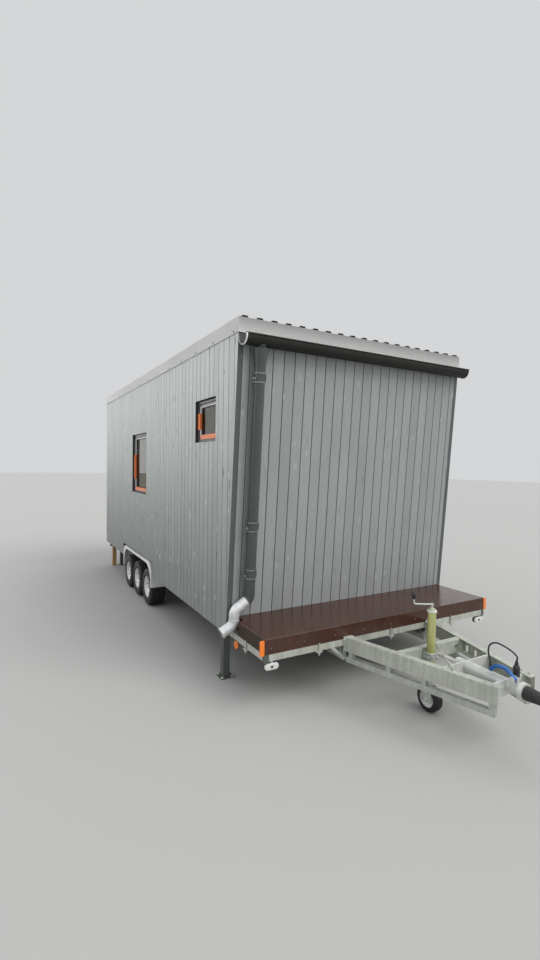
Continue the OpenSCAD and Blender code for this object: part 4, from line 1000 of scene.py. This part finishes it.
plate = start_box("plate", at_handle(0, -0.020, -0.15), at_handle(0.004, 0.020, 0.08))
bevel_edges(plate, 0.012, lambda e: run(e, 0) > 0.002, 4)
bevel_edges(plate, 0.0015, lambda e: all(v.co.x > leaf_face + 0.003 for v in e.verts), 2)
lever = bent_rod("lever", rounded([at_handle(0.003, 0, 0), at_handle(0.028, 0, 0), at_handle(0.028, 0.125, 0)], 0.014),
    0.008)
keyhole = turned("keyhole", at_handle(0.004, 0, -0.09), (1, 0, 0), [(0.0, 0.0), (0.010, 0.0), (0.010, 0.003),
    (0.0085, 0.004), (0.0, 0.004)], 24)
hinges = []
for z in (leaf_low.z + 0.18, leaf_low.z + 1.0, leaf_low.z + 1.75):
    hinge = turned("hinge", (leaf_face + 0.012, leaf_high.y + 0.003, z), (0, 0, 1), [(0.0, -0.050), (0.006, -0.049),
        (0.0085, -0.046), (0.0085, -0.001), (0.0075, 0.0), (0.0085, 0.001), (0.0085, 0.046), (0.006, 0.049),
        (0.0, 0.050)], 20)
    tab = start_box("tab", (leaf_face + 0.0005, leaf_high.y - 0.034, z - 0.04), (leaf_face + 0.0045, leaf_high.y +
        0.004, z + 0.04))
    hinges += [hinge, bevel_edges(tab, 0.001)]
settle(join([plate, lever, keyhole, *hinges], "door_fittings"), [cap_steel], house, "window_coating")

# Roof: an insulated panel under a dark trapezoid steel sheet, both level.
# The sheet is held by screws with washers on every third rib.
dress(board_finish("raw_panel", "Y", 0.0, (0.42, 0.33, 0.22), 1.2, 0.3, "X"), "roof_panel")
# The sheet's near-black tone is partly painted shade, for the dark hollows under its ribs above the fascia.
dress(worn_finish("roof_coat", (0.035, 0.038, 0.041), (0.16, 0.15, 0.12), 0.3, 4.0, (0.35, 0.6)), "roof_sheet")
sheet_low, sheet_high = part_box("roof_sheet")
rib_pitch, row_in, row_spaces = 0.133, 0.06, 5
row_step = (sheet_high.y - sheet_low.y - 2 * row_in) / row_spaces
places = [facing((0, 0, 1), (centre_x + i * rib_pitch, sheet_low.y + row_in + j * row_step, sheet_high.z - 0.0075))
    for i in range(-9, 10, 3) for j in range(row_spaces + 1)]
fasten("roof_screws", hex_head("roof_screw", 0.008, 0.005), places, screw_steel, "roof_coating")

# Edge flashings: folded sheet steel with a pale grey coat, in 2 m lengths that lap each other. They are screwed on
# through their lower edge.
verge_coat = worn_finish("verge_coat", (0.52, 0.51, 0.515), (0.36, 0.35, 0.33), 0.25, 3.0, (0.35, 0.55))
dress(verge_coat, "verge_flashings")
fascia_coat_painted_light, tree, shader, where = new_finish("fascia_coat_painted_light")
fascia_low, fascia_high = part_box("fascia_flashings")
# Painted light and shade: the fascia is pale at its lower edge and darker towards its top.
rise = ranged(tree, add_node(tree, "ShaderNodeSeparateXYZ", {0: where}).outputs["Z"], fascia_low.z + 0.01,
    fascia_high.z - 0.01, 0.0, 1.0)
use_group(tree, surface_wear, shader, {"Vector": where, "Tone": mixed(tree, rise, (0.60, 0.595, 0.59, 1), (0.30, 0.305,
    0.30, 1)), "Dirt": (0.28, 0.27, 0.24, 1), "Share": 0.3, "Size": 3.0, "Smooth": 0.35, "Rough": 0.55}, (0.15, 0.0006))
dress(fascia_coat_painted_light, "fascia_flashings")
verge_low, verge_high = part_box("verge_flashings")
lap_half, lap_long, screw_pitch = 0.0009, 0.05, 0.42
laps, places = [], []
for sign, face in ((-1, verge_low.x + 0.003), (1, verge_high.x - 0.003)):
    for y in (1.62, 3.63):
        lap = start_box("lap", (face - lap_half, verge_low.y + y, verge_low.z + 0.010), (face + lap_half, verge_low.y +
            y + lap_long, verge_high.z - 0.002))
        laps.append(bevel_edges(lap, 0.0007))
    y = verge_low.y + 0.09
    while y < verge_high.y:
        places.append(facing((sign, 0, 0), (face - sign * 0.0012, y, verge_low.z + 0.020)))
        y += screw_pitch
settle(join(laps, "flashing_laps"), [verge_coat], house, "light_flashing")
dark_screw = worn_finish("dark_screw", (0.03, 0.03, 0.032), (0.1, 0.08, 0.06), 0.3, 60.0, (0.4, 0.6), metal=0.4)
fasten("flashing_screws", hex_head("flashing_screw", 0.009, 0.0015), places, dark_screw, "roof_coating")

# Rainwater: a half-round gutter along the front eaves in dark grey coated steel. Folded brackets hold its rim, and
# each end is closed by a paler cap. The pipe falls from a funnel along the leaning wall in three clips, and ends in a
# creased galvanised shoe.
# Painted shade: the gutter's coat is made far darker than the pipe's, for the shade under the eaves.
gutter_coat_painted_shade = worn_finish("gutter_coat_painted_shade", (0.016, 0.018, 0.015), (0.05, 0.05, 0.04), 0.18, 5.0, (0.45, 0.65), gloss=0.25)
dress(gutter_coat_painted_shade, "gutter")
dress(worn_finish("pipe_coat", (0.058, 0.070, 0.068), (0.085, 0.095, 0.09), 0.05, 2.5, (0.24, 0.30), (0.01, 0.0001)),
    "downpipe")
clip_zinc = worn_finish("clip_zinc", (0.26, 0.275, 0.27), (0.07, 0.08, 0.08), 0.85, 60.0, (0.2, 0.4), metal=0.5)
dress(clip_zinc, "downpipe_clips")
dress(zinc_finish("shoe_zinc", (0.66, 0.67, 0.69), 0.7, 38.0, 0.45, (0.9, 0.006)), "downpipe_shoe")
gutter_low, gutter_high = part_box("gutter")
gutter_y, gutter_z, face_radius = (gutter_low.y + gutter_high.y) / 2, gutter_low.z + 0.063, 0.058
cap_coat = worn_finish("cap_coat", (0.80, 0.80, 0.78), (0.3, 0.29, 0.27), 0.3, 12.0, (0.35, 0.55))
caps = []
for sign, x in ((-1, gutter_low.x), (1, gutter_high.x)):
    gutter_cap = turned("gutter_cap", (x, gutter_y, gutter_z), (sign, 0, 0), [(0.0, -0.0022), (0.060, -0.0022),
        (0.0665, -0.012), (0.0668, -0.001), (0.0655, 0.0006), (0.062, 0.0), (0.050, -0.0012), (0.0, -0.0012)], 64)
    cut_plane(gutter_cap, (x, gutter_y, gutter_z + 0.011), (0, 0, 1))
    caps.append(smooth(gutter_cap))
gutter_caps = join(caps, "gutter_caps")
settle(gutter_caps, [cap_coat, gutter_coat_painted_shade], house, "light_flashing")
# The caps' faces take the gutter's darkened coat, the same painted shade; their rims are pale.
coat_faces(gutter_caps, lambda f: math.hypot(f.center.y - gutter_y, f.center.z - gutter_z) < face_radius)

# Clips: pairs of steel rings round the pipe. Each pair is drawn together by a lock plate at its outer side and hangs
# on a screw in the wall.
pipe_out = gutter_y - corner_y + (wall_top - wall_foot) * math.tan(lean)
clip_parts = []
for level in (0.505, 0.890, 2.060):
    middle = Vector((face_left + 0.165, corner_y - level * math.tan(lean) + pipe_out, wall_foot + level))
    head = hex_head("clip_screw", 0.011, 0.010)
    head.data.transform(facing((-0.35, -1, 0), middle + Vector((-0.0555, -0.012, -0.012))))
    stay = start_rod("clip_stay", middle + Vector((-0.0555, 0.020, -0.012)), 0.004, 0.060, (0, 1, 0), 12)
    plate = start_box("lock_plate", middle + Vector((0.0445, -0.016, -0.028)), middle + Vector((0.0485, -0.006, 0.028)))
    clip_parts += [head, stay, bevel_edges(plate, 0.001)]
settle(join(clip_parts, "clip_screws"), [clip_zinc], house, "galvanised")

# Lamps: white oval lamps hang under the deck's front corners, round orange markers under its sides, and upright
# orange reflectors stand out beside its ends. A red and orange cluster sits at each rear corner.
white_lens = worn_finish("white_lens", (0.66, 0.66, 0.64), (0.40, 0.40, 0.38), 0.3, 30.0, (0.12, 0.3))
orange_lens = worn_finish("orange_lens", (0.90, 0.22, 0.02), (0.55, 0.2, 0.06), 0.25, 30.0, (0.15, 0.35))
red_lens = worn_finish("red_lens", (0.42, 0.012, 0.01), (0.2, 0.04, 0.03), 0.25, 30.0, (0.12, 0.3))


# A moulded lens: a cylinder whose face is domed by three insets, drawn out sideways to an oval
def lens(name, centre, direction, radius, depth, spread, finish):
    made = start_rod(name, centre, radius, depth, direction, 40)
    in_edit_mode(made, "FACE", lambda f: f.normal.dot(Vector(direction)) > 0.9)
    for inwards, outwards in ((0.16, 0.16), (0.22, 0.09), (0.26, 0.02)):
        bpy.ops.mesh.inset(thickness=radius * inwards, depth=depth * outwards)
    leave_edit_mode()
    across = Vector((0, 0, 1)).cross(Vector(direction)).normalized()
    for v in made.data.vertices:
        reach = (v.co - Vector(centre)).dot(across)
        v.co += across * max(-spread, min(spread, reach * 40))
    return finished(smooth(made, 40), finish)


# A box between two places, in either order across the house
def fitting(name, x0, x1, y0, y1, z0, z1):
    return start_box(name, spot(min(x0, x1), y0, z0), spot(max(x0, x1), y1, z1))


side_reach, edge_low, reflector_low, reflector_high = 1.205, wall_foot - 0.025, deck_low.z - 0.004, deck_high.z - 0.006
lamp_parts = []
for sign in (-1, 1):
    x, z = sign * (side_reach - 0.062), edge_low - 0.042
    lamp_parts += [lens("front_lens", spot(x, -0.5705, z), (0, -1, 0), 0.0245, 0.012, 0.032, white_lens),
        lens("front_bulb", spot(x, -0.5815, z), (0, -1, 0), 0.0075, 0.0012, 0.004, black_plastic),
        lens("front_housing", spot(x, -0.5565, z), (0, 1, 0), 0.026, 0.016, 0.032, black_plastic)]
    bracket = fitting("bracket", x - 0.010, x + 0.010, -0.574, -0.570, edge_low - 0.026, edge_low + 0.002)
    lamp_parts.append(finished(bevel_edges(bracket, 0.001), bright_zinc))
    x, z = sign * (side_reach + 0.004), edge_low - 0.032
    lamp_parts += [lens("marker_lens", spot(x, -0.115, z), (sign, 0, 0), 0.031, 0.012, 0, orange_lens),
        lens("marker_base", spot(x - sign * 0.008, -0.115, z), (-sign, 0, 0), 0.032, 0.006, 0, black_plastic)]
    bracket = fitting("bracket", x - sign * 0.012, x - sign * 0.008, -0.125, -0.105, edge_low - 0.030, edge_low + 0.002)
    lamp_parts.append(finished(bevel_edges(bracket, 0.0008), bright_zinc))
    plate = fitting("reflector", sign * (side_reach + 0.0005), sign * (side_reach + 0.038), -0.576, -0.570,
        reflector_low, reflector_high)
    bevel_edges(plate, 0.006, lambda e: run(e, 1) > 0.004, 4)
    in_edit_mode(plate, "FACE", lambda f: f.normal.y < -0.9)
    bpy.ops.mesh.inset(thickness=0.004, depth=-0.0012)
    bpy.ops.mesh.inset(thickness=0.0015, depth=0.0011)
    leave_edit_mode()
    leg = fitting("reflector_leg", sign * side_reach, sign * (side_reach + 0.003), -0.571, -0.542, reflector_low +
        0.002, reflector_high - 0.002)
    lamp_parts += [finished(plate, orange_lens), finished(bevel_edges(leg, 0.001), black_plastic)]
    cluster_x, cluster_half = sign * (side_reach - 0.120), 0.109
    for step, wide, finish in ((-0.070, 0.070, orange_lens), (0.0, 0.069, red_lens), (0.070, 0.070, red_lens)):
        x = cluster_x - sign * step
        box = fitting("cluster", x - wide / 2, x + wide / 2, 5.118, 5.137, edge_low - 0.065, wall_foot - 0.006)
        bevel_edges(box, 0.005, lambda e: all(v.co.y > spot(0, 5.13, 0).y for v in e.verts), 3)
        lamp_parts.append(finished(box, finish))
    back = fitting("cluster_back", cluster_x - cluster_half, cluster_x + cluster_half, 5.1155, 5.124, edge_low - 0.069,
        wall_foot - 0.0025)
    lamp_parts.append(finished(bevel_edges(back, 0.004, segments=2), black_plastic))
settle(join(lamp_parts, "lamps_and_reflectors"), None, house, "amber_plastic", "lamps")

# Steadies: square steel legs in dark grey-green paint under the floor's corners, each on a welded foot plate with
# four bolts
leg_paint = worn_finish("leg_paint", (0.075, 0.09, 0.082), (0.16, 0.12, 0.08), 0.4, 9.0, (0.45, 0.75), (0.3, 0.001))
dress(leg_paint, "corner_steadies")
places = [facing((0, 0, 1), spot(sign * x + a, y + b, 0.008)) for sign in (-1, 1)
    for x, y in ((1.175, 0.17), (1.0, 5.085)) for a in (-0.045, 0.045) for b in (-0.045, 0.045)]
fasten("foot_bolts", hex_head("foot_bolt", 0.017, 0.009), places, bright_zinc, "grey_steel")

# Props: a sawn post of plain softwood under the rear on each side, cut to length and set upright. Its long edges are
# planed off.
prop_wood = board_finish("prop_wood", "X", 0.0, (0.46, 0.29, 0.11), 0.4, 0.35)
prop_half, props = 0.0315, []
for x in (-1.1315, 1.1315):
    prop = start_box("timber_prop", spot(x - prop_half, 5.045, 0), spot(x + prop_half, 5.108, edge_low))
    in_edit_mode(prop, "FACE", lambda f: abs(f.normal.z) < 0.5)
    bpy.ops.mesh.subdivide(number_cuts=3)
    leave_edit_mode()
    props.append(bevel_edges(prop, 0.002, lambda e: sharp(e, 1.0) and run(e, 2) > 0.01, 2))
settle(join(props, "timber_prop_pair"), [prop_wood], house, "yellow_timber", "timber_props")
